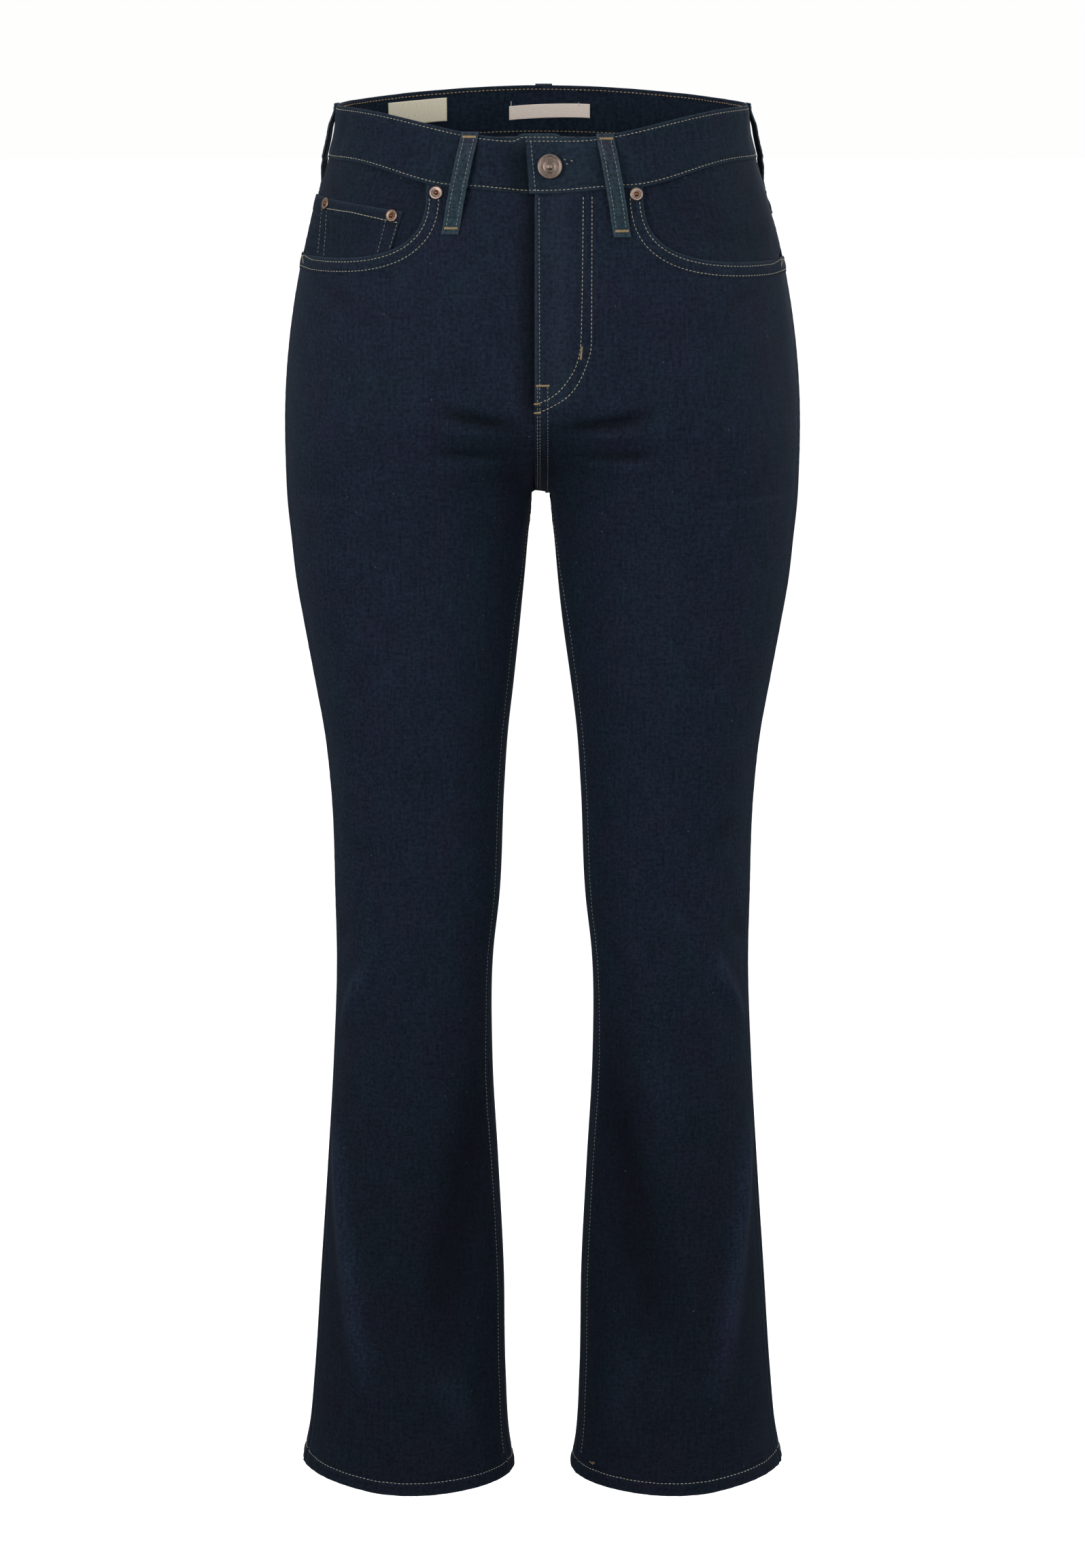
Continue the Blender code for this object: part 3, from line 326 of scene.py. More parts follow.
def pick(at, where, values):
    """Vectors read off a row of them, at the given distances."""
    return np.stack([np.interp(at, where, values[:, k]) for k in range(values.shape[1])], axis=-1)


def wobble(along, seed, length):
    """A smooth uneven wave between about -1 and 1."""
    total = 0.0
    for k, (rate, size) in enumerate(((1.0, 0.45), (1.73, 0.33), (3.07, 0.22))):
        total = total + size * np.sin(2 * math.pi * rate * along / length + 2.399 * seed * (k + 1.7))
    return total


DOWN = -np.array([row[0] for row in SECTIONS[1:]])
PROFILES = {}
for place, title in enumerate(SECTIONS[0]):
    values = np.array([row[place] for row in SECTIONS[1:]], float)
    PROFILES[title] = (values, np.gradient(values, DOWN))


def through(name, z):
    values, slopes = PROFILES[name]
    at = np.clip(-np.asarray(z, float), DOWN[0], DOWN[-1])
    row = np.clip(np.searchsorted(DOWN, at) - 1, 0, len(DOWN) - 2)
    width = DOWN[row + 1] - DOWN[row]
    t = (at - DOWN[row]) / width
    start = (1 + 2 * t) * (1 - t) ** 2 * values[row] + t * (1 - t) ** 2 * width * slopes[row]
    end = t * t * (3 - 2 * t) * values[row + 1] + t * t * (t - 1) * width * slopes[row + 1]
    return start + end


def power(value, exponent):
    return np.sign(value) * np.abs(value) ** exponent


def centre_dip(edge, face, x):
    """How far across from the side (0) to the middle (1) an edge of the band has dropped or risen."""
    reach = np.abs(x)
    if face == "back":
        return 1.0 - np.clip(reach / WAIST_HALF_WIDTH, 0.0, 1.0) ** BACK_DIP_POWER
    if edge is BAND_TOP:
        return short_of(reach, 0.139, 0.119)
    return 0.82 * short_of(reach, 0.137, 0.08) + 0.18 * short_of(reach, 0.06, 0.06)


def edge_height(edge, face, x):
    return edge["side"] + (edge[face] - edge["side"]) * centre_dip(edge, face, x)


def seat_progress(face, z):
    start = RISE_START[face]
    return np.clip((start - z) / (start - CROTCH_Z), 0.0, 1.0)


def section(side, z, turn):
    """Points of the cloth's plain outer face. Turn 0 is the side, positive turns run to the front."""
    z, turn = np.broadcast_arrays(np.asarray(z, float), np.asarray(turn, float))
    turn = np.where(turn < -math.pi, turn + 2 * math.pi, turn)
    turn = np.where(turn > math.pi, turn - 2 * math.pi, turn)
    forward = turn >= 0
    facing = np.where(forward, -1.0, 1.0)
    angle = np.abs(turn)
    outer, crest = through("outer", z), through("crest", z)
    front, back = through("front", z), through("back", z)
    middle_y, half_depth = (back - front) / 2, (back + front) / 2
    seam_u = side * CENTRE_X
    fill = np.clip((CROTCH_Z - z) / CROTCH_FILL, 0.0, 1.0)
    opened = (1.0 - (1.0 - fill) ** CROTCH_CORNER) ** (1 / CROTCH_CORNER)
    shifted = through("inner", z) - side * GAP_SHIFT * past(z, -0.42, 0.08)
    inner_u = seam_u + (shifted - seam_u) * opened
    reach = np.clip((seam_u + CENTRE_RUN - crest) / (outer - crest), 0.0, 1.0)
    last = np.arccos(reach ** (ROUNDNESS / 2))
    quarter = np.minimum(angle, math.pi / 2) * last / (math.pi / 2)
    outer_u = crest + (outer - crest) * power(np.cos(quarter), 2 / ROUNDNESS)
    outer_y = middle_y + facing * half_depth * power(np.sin(quarter), 2 / ROUNDNESS)
    start_u = crest + (outer - crest) * power(np.cos(last), 2 / ROUNDNESS)
    start_y = middle_y + facing * half_depth * power(np.sin(last), 2 / ROUNDNESS)
    progress = np.where(forward, seat_progress("front", z), seat_progress("back", z))
    under = 1.0 - np.sqrt(1.0 - progress**2)
    settled = short_of(z, CROTCH_Z, SETTLE_HEIGHT)
    leg_y = CROTCH_Y + (middle_y - CROTCH_Y) * settled
    end_y = start_y + (leg_y - start_y) * np.where(z < CROTCH_Z, 1.0, under)
    below = short_of(z, CROTCH_Z, ROUNDING_HEIGHT)
    sharp = CROTCH_SHARPNESS * progress**2 + (1 - CROTCH_SHARPNESS) * below
    run = progress**3 * (1.0 - opened) * (side > 0)
    bend = 1.0 - LAP_SHARE * run
    along = np.clip(angle / (math.pi / 2) - 1.0, 0.0, 1.0)
    strip = np.clip((along - bend) / np.maximum(1.0 - bend, 1e-6), 0.0, 1.0)
    along = np.clip(along / bend, 0.0, 1.0)
    swing = along * math.pi / 2
    bend_u = inner_u + LAP_RUN * run
    shallow_u = start_u + (bend_u - start_u) * along
    shallow_y = start_y + (end_y - start_y) * (1 - np.cos(math.pi * along)) / 2
    round_u = start_u + (bend_u - start_u) * np.sin(swing)
    round_y = start_y + (end_y - start_y) * (1 - np.cos(swing))
    outside = angle <= math.pi / 2
    u = np.where(outside, outer_u, shallow_u + (round_u - shallow_u) * sharp - LAP_RUN * run * strip)
    y = np.where(outside, outer_y, shallow_y + (round_y - shallow_y) * sharp)
    return np.stack([side * u, y, z], axis=-1)


def clear_of_seam(z, turn):
    return np.where(np.asarray(z) > CROTCH_Z, np.clip(turn, -math.pi, math.pi), turn)


def skin(side, z, turn, lift=0.0):
    """(points, normals) of the plain cloth, moved out by lift."""
    z, turn, lift = np.broadcast_arrays(*(np.asarray(v, float) for v in (z, turn, lift)))
    after, before = clear_of_seam(z, turn + 2e-3), clear_of_seam(z, turn - 2e-3)
    round_cloth = section(side, z, after) - section(side, z, before)
    down_cloth = section(side, z - 5e-4, turn) - section(side, z + 5e-4, turn)
    normal = unit(side * np.cross(round_cloth, down_cloth))
    return section(side, z, turn) + normal * lift[..., None], normal


def outseam_turn(z):
    return OUTSEAM_TURN * short_of(z, OUTSEAM_START_Z, OUTSEAM_RUN)


def inseam_turn(z):
    return INSEAM_TURN * short_of(z, CROTCH_Z, SETTLE_HEIGHT)


def panel_ends(face, side_z, inner_z):
    start = outseam_turn(side_z)
    if face == "front":
        return start, math.pi - inseam_turn(inner_z)
    return start, -math.pi - inseam_turn(inner_z)


def turn_where(side, face, z, value, across):
    """The turn at which a section's point has across(points) equal to value, falling inwards."""
    sign = 1.0 if face == "front" else -1.0
    turns = np.linspace(0.0, math.pi, 721)
    shape = np.broadcast(z, value).shape
    flat_z = np.broadcast_to(z, shape).ravel()
    flat_value = np.broadcast_to(value, shape).ravel()
    found = np.empty(flat_z.shape)
    for k, (height, wanted) in enumerate(zip(flat_z, flat_value)):
        line = across(section(side, height, sign * turns))
        found[k] = sign * np.interp(-wanted, -line, turns)
    return found.reshape(shape)


def turn_at_x(side, face, z, x):
    return turn_where(side, face, z, side * np.asarray(x), lambda p: side * p[..., 0])


def edged(near, middle):
    """Shares from 0 to 1 that stand closer together near both ends."""
    inside = np.linspace(near[-1], 1 - near[-1], middle + 2)[1:-1]
    return np.concatenate([near, inside, 1 - near[::-1]])


def column_shares(length, middle):
    return edged(np.array(EDGE_COLUMNS) / length, middle)


def lay_row(side, ends, level, middle):
    """Turns, heights and distances from the side seam along one row of a panel."""
    spread = np.linspace(0.0, 1.0, POLYLINE_POINTS)
    turn = ends[0] + (ends[1] - ends[0]) * spread
    z = level(spread, np.zeros(POLYLINE_POINTS))
    for _ in range(4):
        line = section(side, z, turn)
        spread = run_along(line)
        length = spread[-1]
        spread = spread / length
        z = level(spread, line[:, 0])
    share = column_shares(length, middle)
    return np.interp(share, spread, turn), np.interp(share, spread, z), share * length


def fan_level(side_z, inner_z):
    return lambda share, x: side_z + (inner_z - side_z) * smooth_step(share)


def lay_rows(side, face, sides, inners, middle):
    """One row for each pair of heights on the side seam and the inner edge."""
    return [
        lay_row(side, panel_ends(face, side_z, inner_z), fan_level(side_z, inner_z), middle)
        for side_z, inner_z in zip(sides, inners)
    ]


def row_levels(side_top, inner_top, bands, face):
    """Heights on the side seam and the inner edge of every row below the top one."""
    side_z, inner_z = [side_top], [inner_top]
    for side_end, inner_end in bands + LEG_BANDS:
        drop = max(side_z[-1] - side_end, inner_z[-1] - inner_end)
        step = ROW_STEP["high"] if side_end >= -0.31 else ROW_STEP["low"]
        share = np.arange(1, max(1, math.ceil(drop / step)) + 1)
        share = share / share[-1]
        side_z += list(side_z[-1] + (side_end - side_z[-1]) * share)
        inner_z += list(inner_z[-1] + (inner_end - inner_z[-1]) * share)
    side_z = np.concatenate([side_z, HEM_Z + np.array(HEM_ROWS)])
    inner_z = np.concatenate([inner_z, HEM_Z + np.array(HEM_ROWS)])
    start = RISE_START[face]
    inside = (inner_z < start - 1e-9) & (inner_z >= CROTCH_Z - 1e-9)
    turns = np.arange(1, inside.sum() + 1) / inside.sum() * math.pi / 2
    inner_z[inside] = start - (start - CROTCH_Z) * np.sin(turns)
    return side_z[1:], inner_z[1:]


def grid_normals(points, flip):
    across = np.gradient(points, axis=1, edge_order=2)
    down = np.gradient(points, axis=0, edge_order=2)
    return unit(np.cross(across, down)) * flip


def near_line(points, line):
    """(distance, share along) of each point from a polyline in space."""
    best = np.full(points.shape[:-1], 1e9)
    share = np.zeros(points.shape[:-1])
    count = len(line) - 1
    for k in range(count):
        start, step = line[k], line[k + 1] - line[k]
        t = np.clip(((points - start) @ step) / max(step @ step, 1e-12), 0.0, 1.0)
        gap = np.linalg.norm(points - start - t[..., None] * step, axis=-1)
        nearer = gap < best
        best = np.where(nearer, gap, best)
        share = np.where(nearer, (k + t) / count, share)
    return best, share


def fold_relief(points, side, face):
    total = np.zeros(points.shape[:-1])
    for fold in rows_of(FOLDS):
        if fold["side"] != side or fold["face"] != face:
            continue
        t = np.linspace(0.0, 1.0, 22)
        run = np.array([fold["x2"] - fold["x1"], fold["z2"] - fold["z1"]])
        off = np.array([-run[1], run[0]]) / np.linalg.norm(run)
        off *= np.sign(off[1]) if abs(off[1]) > 0.3 else np.sign(off[0]) * side
        bow = fold["bow"] * 4 * t * (1 - t)
        x = fold["x1"] + run[0] * t + off[0] * bow
        z = fold["z1"] + run[1] * t + off[1] * bow
        line = section(side, z, turn_at_x(side, face, z, x))
        gap, share = near_line(points, line)
        ends = smooth_step(share / fold["fade"]) * smooth_step((1 - share) / fold["fade"])
        total += fold["height"] * ends * np.exp(-((gap / fold["width"]) ** 2))
    return total


def painted_shade_and_wash(points, relief):
    """Painted light and shade that multiply the dye: painted shade in the fold troughs and darker towards
    the hem, and lighter crests on the lower folds, partly wash fade and partly painted highlight.
    """
    low = short_of(points[..., 2], -0.5, 0.1)
    strength = np.where(relief > 0, 0.1 + 0.58 * low, 0.92 - 0.47 * low)
    painted_fold_shade_and_crests = np.clip(relief / 0.0042, -1.0, 1.0) * strength
    return painted_fold_shade_and_crests - 0.34 * short_of(points[..., 2], -0.52, 0.34)


def grain_place(side, face, z, turn):
    """How far each point lies from the grain line, measured round the cloth at its own height."""
    levels = np.linspace(0.0, HEM_Z, 120)
    line = turn_at_x(side, face, levels, np.full(120, side * GRAIN_X))
    start = np.interp(-z, -levels, line)
    steps = np.linspace(0.0, 1.0, 14)
    path = section(side, z[..., None], start[..., None] + (turn - start)[..., None] * steps)
    across = lengths(path, -2).sum(axis=-1) * np.sign(turn - start)
    return across + GRAIN_APART * side


def evened(points, place, from_inner, side):
    """Carries the hollow above the inner thigh on down the leg, so that no crease forms below it."""
    z, reach = points[..., 2], side * points[..., 0]
    both = np.concatenate([points, place[..., None]], axis=-1)
    soft = both.copy()
    for column in range(z.shape[1]):
        height = z[:, column]
        near = np.exp(-(((height[:, None] - height[None, :]) / EVEN_REACH) ** 2) / 2)
        near *= np.abs(np.gradient(height))[None, :]
        soft[:, column] = near @ both[:, column] / near.sum(axis=1, keepdims=True)
    share = past(z, -0.4, 0.09) * short_of(z, -0.205, 0.03)
    share = share * smooth_step(from_inner / 0.016)
    near = share * (1 - past(reach, 0.095, 0.05))
    both += (soft - both) * np.stack([near, share, share * 0, near], axis=-1)
    return both[..., :3], both[..., 3]


def rolled(distance, radius):
    """How far a rounded edge falls below the face at a distance from it."""
    inside = np.clip(radius - distance, 0.0, radius)
    return -(radius - np.sqrt(radius**2 - inside**2))


def groove(distance, at, width, depth):
    return -depth * bell(distance, at, width)


def tucked_under(z, face, x):
    """1 where a piece has run on under the waistband."""
    return smooth_step((z - edge_height(WAIST_SEAM, face, x)) / 0.0008 + 0.8)


def shell(base, normals, lift, wall):
    """The outer and the inner face of a wall whose outer face stands at lift."""
    return base + normals * lift[..., None], base + normals * (lift - wall)[..., None]


def across_and_down(base):
    """The whole width of each row and the whole height of each column."""
    return (lengths(base, axis).sum(axis=axis, keepdims=True) for axis in (1, 0))

# ------------------------------------------------------------------ meshes

MATERIALS = {}
GRIDS = {}
TREES = {}
LOOP_PATHS = {}
STITCHES = {name: [] for name in ("thread_cream", "thread_pale", "thread_gold", "thread_dull")}
STITCHES.update(thread_grey=[], thread_white=[])


def add_to_scene(name, data):
    made = bpy.data.objects.new(name, data)
    bpy.context.scene.collection.objects.link(made)
    return made


def put(name, points, faces, material, uv=None, wear=None, fade=None, smooth=True):
    mesh = bpy.data.meshes.new(name)
    mesh.from_pydata(points.tolist(), [], faces)
    if uv is not None:
        loops = np.empty(len(mesh.loops), np.int32)
        mesh.loops.foreach_get("vertex_index", loops)
        layer = mesh.uv_layers.new(name="UVMap")
        layer.data.foreach_set("uv", np.asarray(uv, np.float32)[loops].ravel())
    # The fade attribute darkens or lightens the dye: painted shade and shadow, with lighter crests that are
    # partly painted highlight and partly wash fade.
    for title, values in (("wear", wear), ("fade", fade)):
        if values is not None:
            layer = mesh.attributes.new(title, "FLOAT", "POINT")
            layer.data.foreach_set("value", np.asarray(values, np.float32))
    mesh.polygons.foreach_set("use_smooth", [smooth] * len(mesh.polygons))
    mesh.materials.append(MATERIALS[material])
    made = add_to_scene(name, mesh)
    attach(made, "root")
    return made


def grid_faces(rows, columns, start=0, flip=False):
    index = np.arange(rows * columns).reshape(rows, columns) + start
    quads = np.stack([index[:-1, :-1], index[1:, :-1], index[1:, 1:], index[:-1, 1:]], axis=-1)
    quads = quads.reshape(-1, 4)
    return quads[:, ::-1] if flip else quads


def cloth(name, outer, inner, uv, material, outward, wear=0.0, fade=0.0, reverse=None):
    """A closed wall between two grids. outward is 1 if rows x columns wind outwards, else -1."""
    rows, columns = outer.shape[:2]
    count = rows * columns
    index = np.arange(count).reshape(rows, columns)
    quads = grid_faces(rows, columns, 0, outward < 0)
    border = np.concatenate([index[0], index[1:, -1], index[-1, -2::-1], index[-2:0:-1, 0]])
    after = np.roll(border, -1)
    rim = np.stack([border, after, after + count, border + count], axis=-1)
    back = grid_faces(rows, columns, count, outward > 0)
    faces = np.concatenate([quads, back, rim if outward > 0 else rim[:, ::-1]])
    flat = uv.reshape(-1, 2)
    # fade here is painted shade and shadow, with lighter crests partly painted highlight and partly wash
    # fade; the inner face gets none.
    worn, painted_shade_and_fade_values = (np.broadcast_to(v, (rows, columns)).ravel() for v in (wear, fade))
    made = put(
        name,
        np.concatenate([outer.reshape(-1, 3), inner.reshape(-1, 3)]),
        faces.tolist(),
        material,
        np.concatenate([flat, flat]),
        np.concatenate([worn, worn * 0]),
        np.concatenate([painted_shade_and_fade_values, painted_shade_and_fade_values * 0]),
    )
    if reverse:
        made.data.materials.append(MATERIALS[reverse])
        slots = np.zeros(len(made.data.polygons), np.int32)
        slots[len(quads) : 2 * len(quads)] = 1
        made.data.polygons.foreach_set("material_index", slots)
    TREES[name] = BVHTree.FromPolygons(outer.reshape(-1, 3).tolist(), quads.tolist())
    return made


def remember(name, grid, normals, across, **more):
    """Keeps a piece's outer face, so that stitches can be laid on it."""
    GRIDS[name] = {"grid": grid, "normals": normals, "across": across, **more}


def winding(side, face):
    """Rows go down and columns go inwards, so the winding depends on side and face."""
    return -side if face == "front" else side


# ------------------------------------------------------------------ leg panels


def mouth_middle(reach):
    return CENTRE_X * (1 - smooth_step((reach - MOUTH_TOP) / (MOUTH_END - MOUTH_TOP)))


def mouth_line(side, count=56):
    """x and z along the pocket mouth, from the side seam to the waist."""
    angle = np.linspace(math.pi / 2, 0.0, count)
    reach = MOUTH_END - (MOUTH_END - MOUTH_TOP) * power(np.cos(angle), 2 / MOUTH_POWER)
    z = MOUTH_TOP_Z + (MOUTH_END_Z[side] - MOUTH_TOP_Z) * power(np.sin(angle), 2 / MOUTH_POWER)
    return mouth_middle(reach) + side * reach, z


def mouth_radius(points, side):
    reach = side * (points[..., 0] - mouth_middle(np.abs(points[..., 0])))
    across = np.clip((MOUTH_END - reach) / (MOUTH_END - MOUTH_TOP), 0.0, None)
    down = np.clip((MOUTH_TOP_Z - points[..., 2]) / (MOUTH_TOP_Z - MOUTH_END_Z[side]), 0.0, None)
    return (across**MOUTH_POWER + down**MOUTH_POWER) ** (1 / MOUTH_POWER)


def facing_lift(side, points, across):
    radius = mouth_radius(points, side)
    inside = smooth_step(across / 0.026)
    drop = FACING_DROP[side] * past(radius, FACING_DIP_START, FACING_DIP_RUN) * inside
    under = smooth_step((MOUTH_END_Z[side] + 0.0055 - points[..., 2]) / 0.005)
    return -drop - 0.0019 * (1 - inside) * under


def front_top(side):
    """Turns and heights of the front's upper edge, from the side seam to the centre."""
    x, z = mouth_line(side)
    turn = turn_at_x(side, "front", z, x)
    turn[0], z[0] = outseam_turn(MOUTH_END_Z[side]), MOUTH_END_Z[side]
    top_x = x[-1]
    rise = np.linspace(z[-1], edge_height(WAIST_SEAM, "front", top_x) + TUCK, 4)[1:]
    along = np.linspace(top_x, CENTRE_X, 40)[1:]
    level = edge_height(WAIST_SEAM, "front", along) + TUCK
    more = (turn_at_x(side, "front", *spot) for spot in ((rise, np.full(3, top_x)), (level, along)))
    turn = np.concatenate([turn, *more])
    turn[-1] = math.pi
    return turn, np.concatenate([z, rise, level]), section(side, z, turn[: len(z)])


def seam_roll(from_side, from_inner, z, side, face):
    """The relief that panel edges have at the side seam, the centre seam and the inner leg."""
    wave = wobble(z, side * 1.3 + (0.4 if face == "front" else 2.2), 0.0085)
    slow = wobble(z, side * 2.1 + 5.0, 0.031)
    lift = rolled(from_side, 0.0011)
    lift += 0.00022 * wave * np.exp(-from_side / 0.005)
    lift += 0.0005 * bell(from_side, 0.004, 0.003)
    leg = short_of(z, CROTCH_Z, 0.02)
    body = 1 - leg
    raised = 0.0006 if face == "front" else -0.0002
    lift += leg * (rolled(from_inner, 0.0009) + raised * bell(from_inner, 0, 0.004))
    lift += leg * 0.0003 * (wave + 0.5 * slow) * bell(from_inner, 0, 0.006)
    lift += leg * groove(from_inner, INSEAM_STITCH, 0.0008, 0.0003)
    if face == "back":
        over = 0.0007 if side > 0 else -0.0004
        lift += body * (rolled(from_inner, 0.0009) + over * bell(from_inner, 0, 0.008))
        lift += body * 0.0002 * wave * np.exp(-from_inner / 0.006)
    return lift


def fly_relief(from_inner, z, side, below_band):
    """The left front laps over the right down to the end of the fly, then the seam is felled."""
    fly = past(z, -0.206, 0.012)
    below = 1 - fly
    body = past(z, CROTCH_Z, 0.01)
    wave = wobble(z, 3.1 * side, 0.009)
    if side > 0:
        lift = fly * below_band * (0.0015 * (1 - past(from_inner, 0.012, 0.026)))
        lift += fly * rolled(from_inner, 0.0012) + 0.00018 * fly * wave * np.exp(-from_inner / 0.01)
        lift += fly * below_band * 0.0004 * bell(from_inner, 0.0365, 0.0035)
        lift += below * body * 0.0009 * (1 - past(from_inner, 0.009, 0.002))
        lift += below * body * rolled(from_inner, 0.0009)
        lift += body * groove(from_inner, 0.0032, 0.0008, 0.0003)
        lift += body * below * groove(from_inner, 0.0086, 0.0008, 0.0003)
        return lift
    lift = -0.003 * fly * bell(from_inner, 0, 0.01)
    lift += -0.0008 * below * body * bell(from_inner, 0, 0.005)
    return lift


def hem_relief(z, high, around, side, face):
    """A turned-up hem: proud between its stitching and the fold, with a slight rope to it."""
    inside = short_of(high, 0.0105, 0.003)
    rope = wobble(around + high * 0.9, side * 0.7 + (1 if face == "front" else 2), 0.0115)
    lift = inside * (0.0005 + 0.00032 * rope)
    lift += groove(high, HEM_STITCH, 0.0009, 0.0005)
    lift += 0.0004 * wobble(around, side * 3.3, 0.021) * bell(high, 0.012, 0.01)
    return lift + rolled(z - HEM_Z, 0.0014)


def hung(points, share, face):
    """The hem is a little higher at the side seam and lower in the middle and at the inner leg."""
    low = short_of(points[..., 2], -0.925, 0.064)
    table = rows_of(HEM_LINE)
    moved = points.copy()
    moved[..., 2] += low * np.interp(share, [row["share"] for row in table], [row[face] for row in table])
    return moved


def lipped(base, normals, lift, across, end, reach, drop):
    """Adds the seam allowance: columns that run on past an edge, under the next piece."""
    last, before = (-1, -2) if end else (0, 1)
    way = unit(base[:, last] - base[:, before])
    grids = [base, normals, lift, across]
    for share in (0.05, 1.0):
        run = reach * share
        fresh = [base[:, last] + way * run[:, None], normals[:, last], lift[:, last] - drop]
        fresh.append(across[:, last] + (run if end else -run))
        for k, (grid, column) in enumerate(zip(grids, fresh)):
            both = (grid, column[:, None]) if end else (column[:, None], grid)
            grids[k] = np.concatenate(both, axis=1)
    return grids


def padded(grids, before, after):
    """Repeats the first and the last column, to match the columns that lipped() adds."""
    for grid in grids:
        first, last = np.repeat(grid[:, :1], before, axis=1), np.repeat(grid[:, -1:], after, axis=1)
        yield np.concatenate([first, grid, last], axis=1)


def as_grids(rows):
    """Turns, heights and distances from the side seam of every row."""
    return (np.array([row[k] for row in rows]) for k in range(3))


def wall_at(z):
    inside = smooth_step((HEM_Z + 0.01 - z) / 0.0015)
    return WALL + (HEM_WALL - WALL) * inside


def make_front(name, side):
    turns, heights, mouth = front_top(side)
    edge = section(side, heights, turns)
    spread = run_along(edge)
    share = column_shares(spread[-1], FRONT_COLUMNS)
    top_turn, top_z = (np.interp(share, spread / spread[-1], v) for v in (turns, heights))
    top = (top_turn, top_z, share * spread[-1])
    side_join, inner_join = FRONT_BANDS[0]
    sides, inners = row_levels(side_join, inner_join, FRONT_BANDS[1:], "front")
    rows = lay_rows(side, "front", [side_join, *sides], [inner_join, *inners], FRONT_COLUMNS)
    join = rows[0]
    gap = np.linalg.norm(section(side, join[1], join[0]) - section(side, top_z, top_turn), axis=-1)
    near = np.array(TOP_ROWS)[:, None] / gap
    rest = near[-1] + (1 - near[-1]) * (np.arange(1, FAN_ROWS)[:, None] / FAN_ROWS)
    down = np.concatenate([near, rest])
    rows = [[a + (b - a) * t for a, b in zip(top, join)] for t in down] + rows
    turn, z, across = as_grids(rows)
    from_inner = across[:, -1:] - across
    base, place = evened(section(side, z, turn), grain_place(side, "front", z, turn), from_inner, side)
    base = hung(base, across / across[:, -1:], "front")
    apart = lengths(base[: len(down)], 1)
    from_inner[: len(down), :-1] = np.cumsum(apart[:, ::-1], axis=1)[:, ::-1]
    normals = grid_normals(base, side)
    high = z - HEM_Z - 0.003 * np.exp(-across / across[:, -1:] / 0.06)
    lift = fold_relief(base, side, "front")
    # Painted shade in the fold troughs and towards the hem, with lighter fold crests, and painted shade in
    # the hollow above the crotch beside the centre seam.
    hollow = np.exp(-(((z + 0.246) / 0.022) ** 2) - (from_inner / 0.034) ** 2)
    fade = painted_shade_and_wash(base, lift) - 0.42 * hollow
    # Painted shadow: a dark strip on the right front beside the fly's edge.
    if side < 0:
        beside = past(z, -0.215, 0.02) * (1 - past(from_inner, 0.003, 0.013))
        fade = fade - 0.56 * beside
    below_mouth = smooth_step((MOUTH_END_Z[side] - z) / 0.004)
    lift += seam_roll(across + 0.004 * (1 - below_mouth), from_inner, z, side, "front")
    seam = edge_height(WAIST_SEAM, "front", base[..., 0])
    lift += fly_relief(from_inner, z, side, smooth_step((seam + 0.001 - z) / 0.014))
    lift += hem_relief(z, high, across, side, "front")
    from_mouth, along = near_line(base, mouth)
    band = 1 - past(from_mouth, 0.0096, 0.0022)
    ripple = wobble(along * 0.17, side * 1.9, 0.0095)
    lift += band * (0.0009 + 0.00016 * ripple) + rolled(from_mouth, 0.001)
    lift += groove(from_mouth, MOUTH_STITCHES[0], 0.0007, 0.00028)
    lift += groove(from_mouth, MOUTH_STITCHES[1], 0.0007, 0.00034)
    tucked = tucked_under(z, "front", base[..., 0])
    under = smooth_step((base[..., 0] - UNDERLAP_START_X) / (UNDERLAP_SET_X - UNDERLAP_START_X))
    sunk = (BAND_WALL + LAP_GAP) * under if side < 0 else 0.0
    lift = lift * (1 - tucked) - (0.001 + sunk) * tucked
    wall = wall_at(z) + 0.0007 * band * (1 - tucked)
    uv = np.stack([place, -base[..., 2]], axis=-1)
    wear = 0.75 * np.exp(-from_mouth / 0.0013) + 0.04 * band
    if side > 0:
        fly = past(z, -0.203, 0.01)
        wear = wear + fly * (1.0 * np.exp(-from_inner / 0.0016) + 0.25 * bell(from_inner, 0.016, 0.009))
    leg = short_of(z, CROTCH_Z, 0.02)
    wear = wear + 0.3 * leg * np.exp(-from_inner / 0.0016) + 0.35 * np.exp(-(z - HEM_Z) / 0.0016)
    wear = wear + 0.1 * leg * (1 - past(from_inner, 0.0035, 0.001))
    wear = wear + 0.1 * below_mouth * bell(across, 0.003, 0.0016)
    if side < 0:
        reach = FRONT_LIP * past(z[:, -1], CROTCH_Z, 0.004) + NO_LIP
        base, normals, lift, across = lipped(base, normals, lift, across, True, reach, 0.0)
        grids = (wall, uv, wear, fade, from_mouth, high)
        wall, uv, wear, fade, from_mouth, high = padded(grids, 0, 2)
    outer, inner = shell(base, normals, lift, wall)
    way = winding(side, "front")
    made = cloth("cloth_front_" + name, outer, inner, uv, "denim", way, wear, fade, "denim_reverse")
    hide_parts("front_" + name)
    normals = grid_normals(outer, side)
    remember("front_" + name, outer, normals, across, mouth=from_mouth, high=high)
    return made


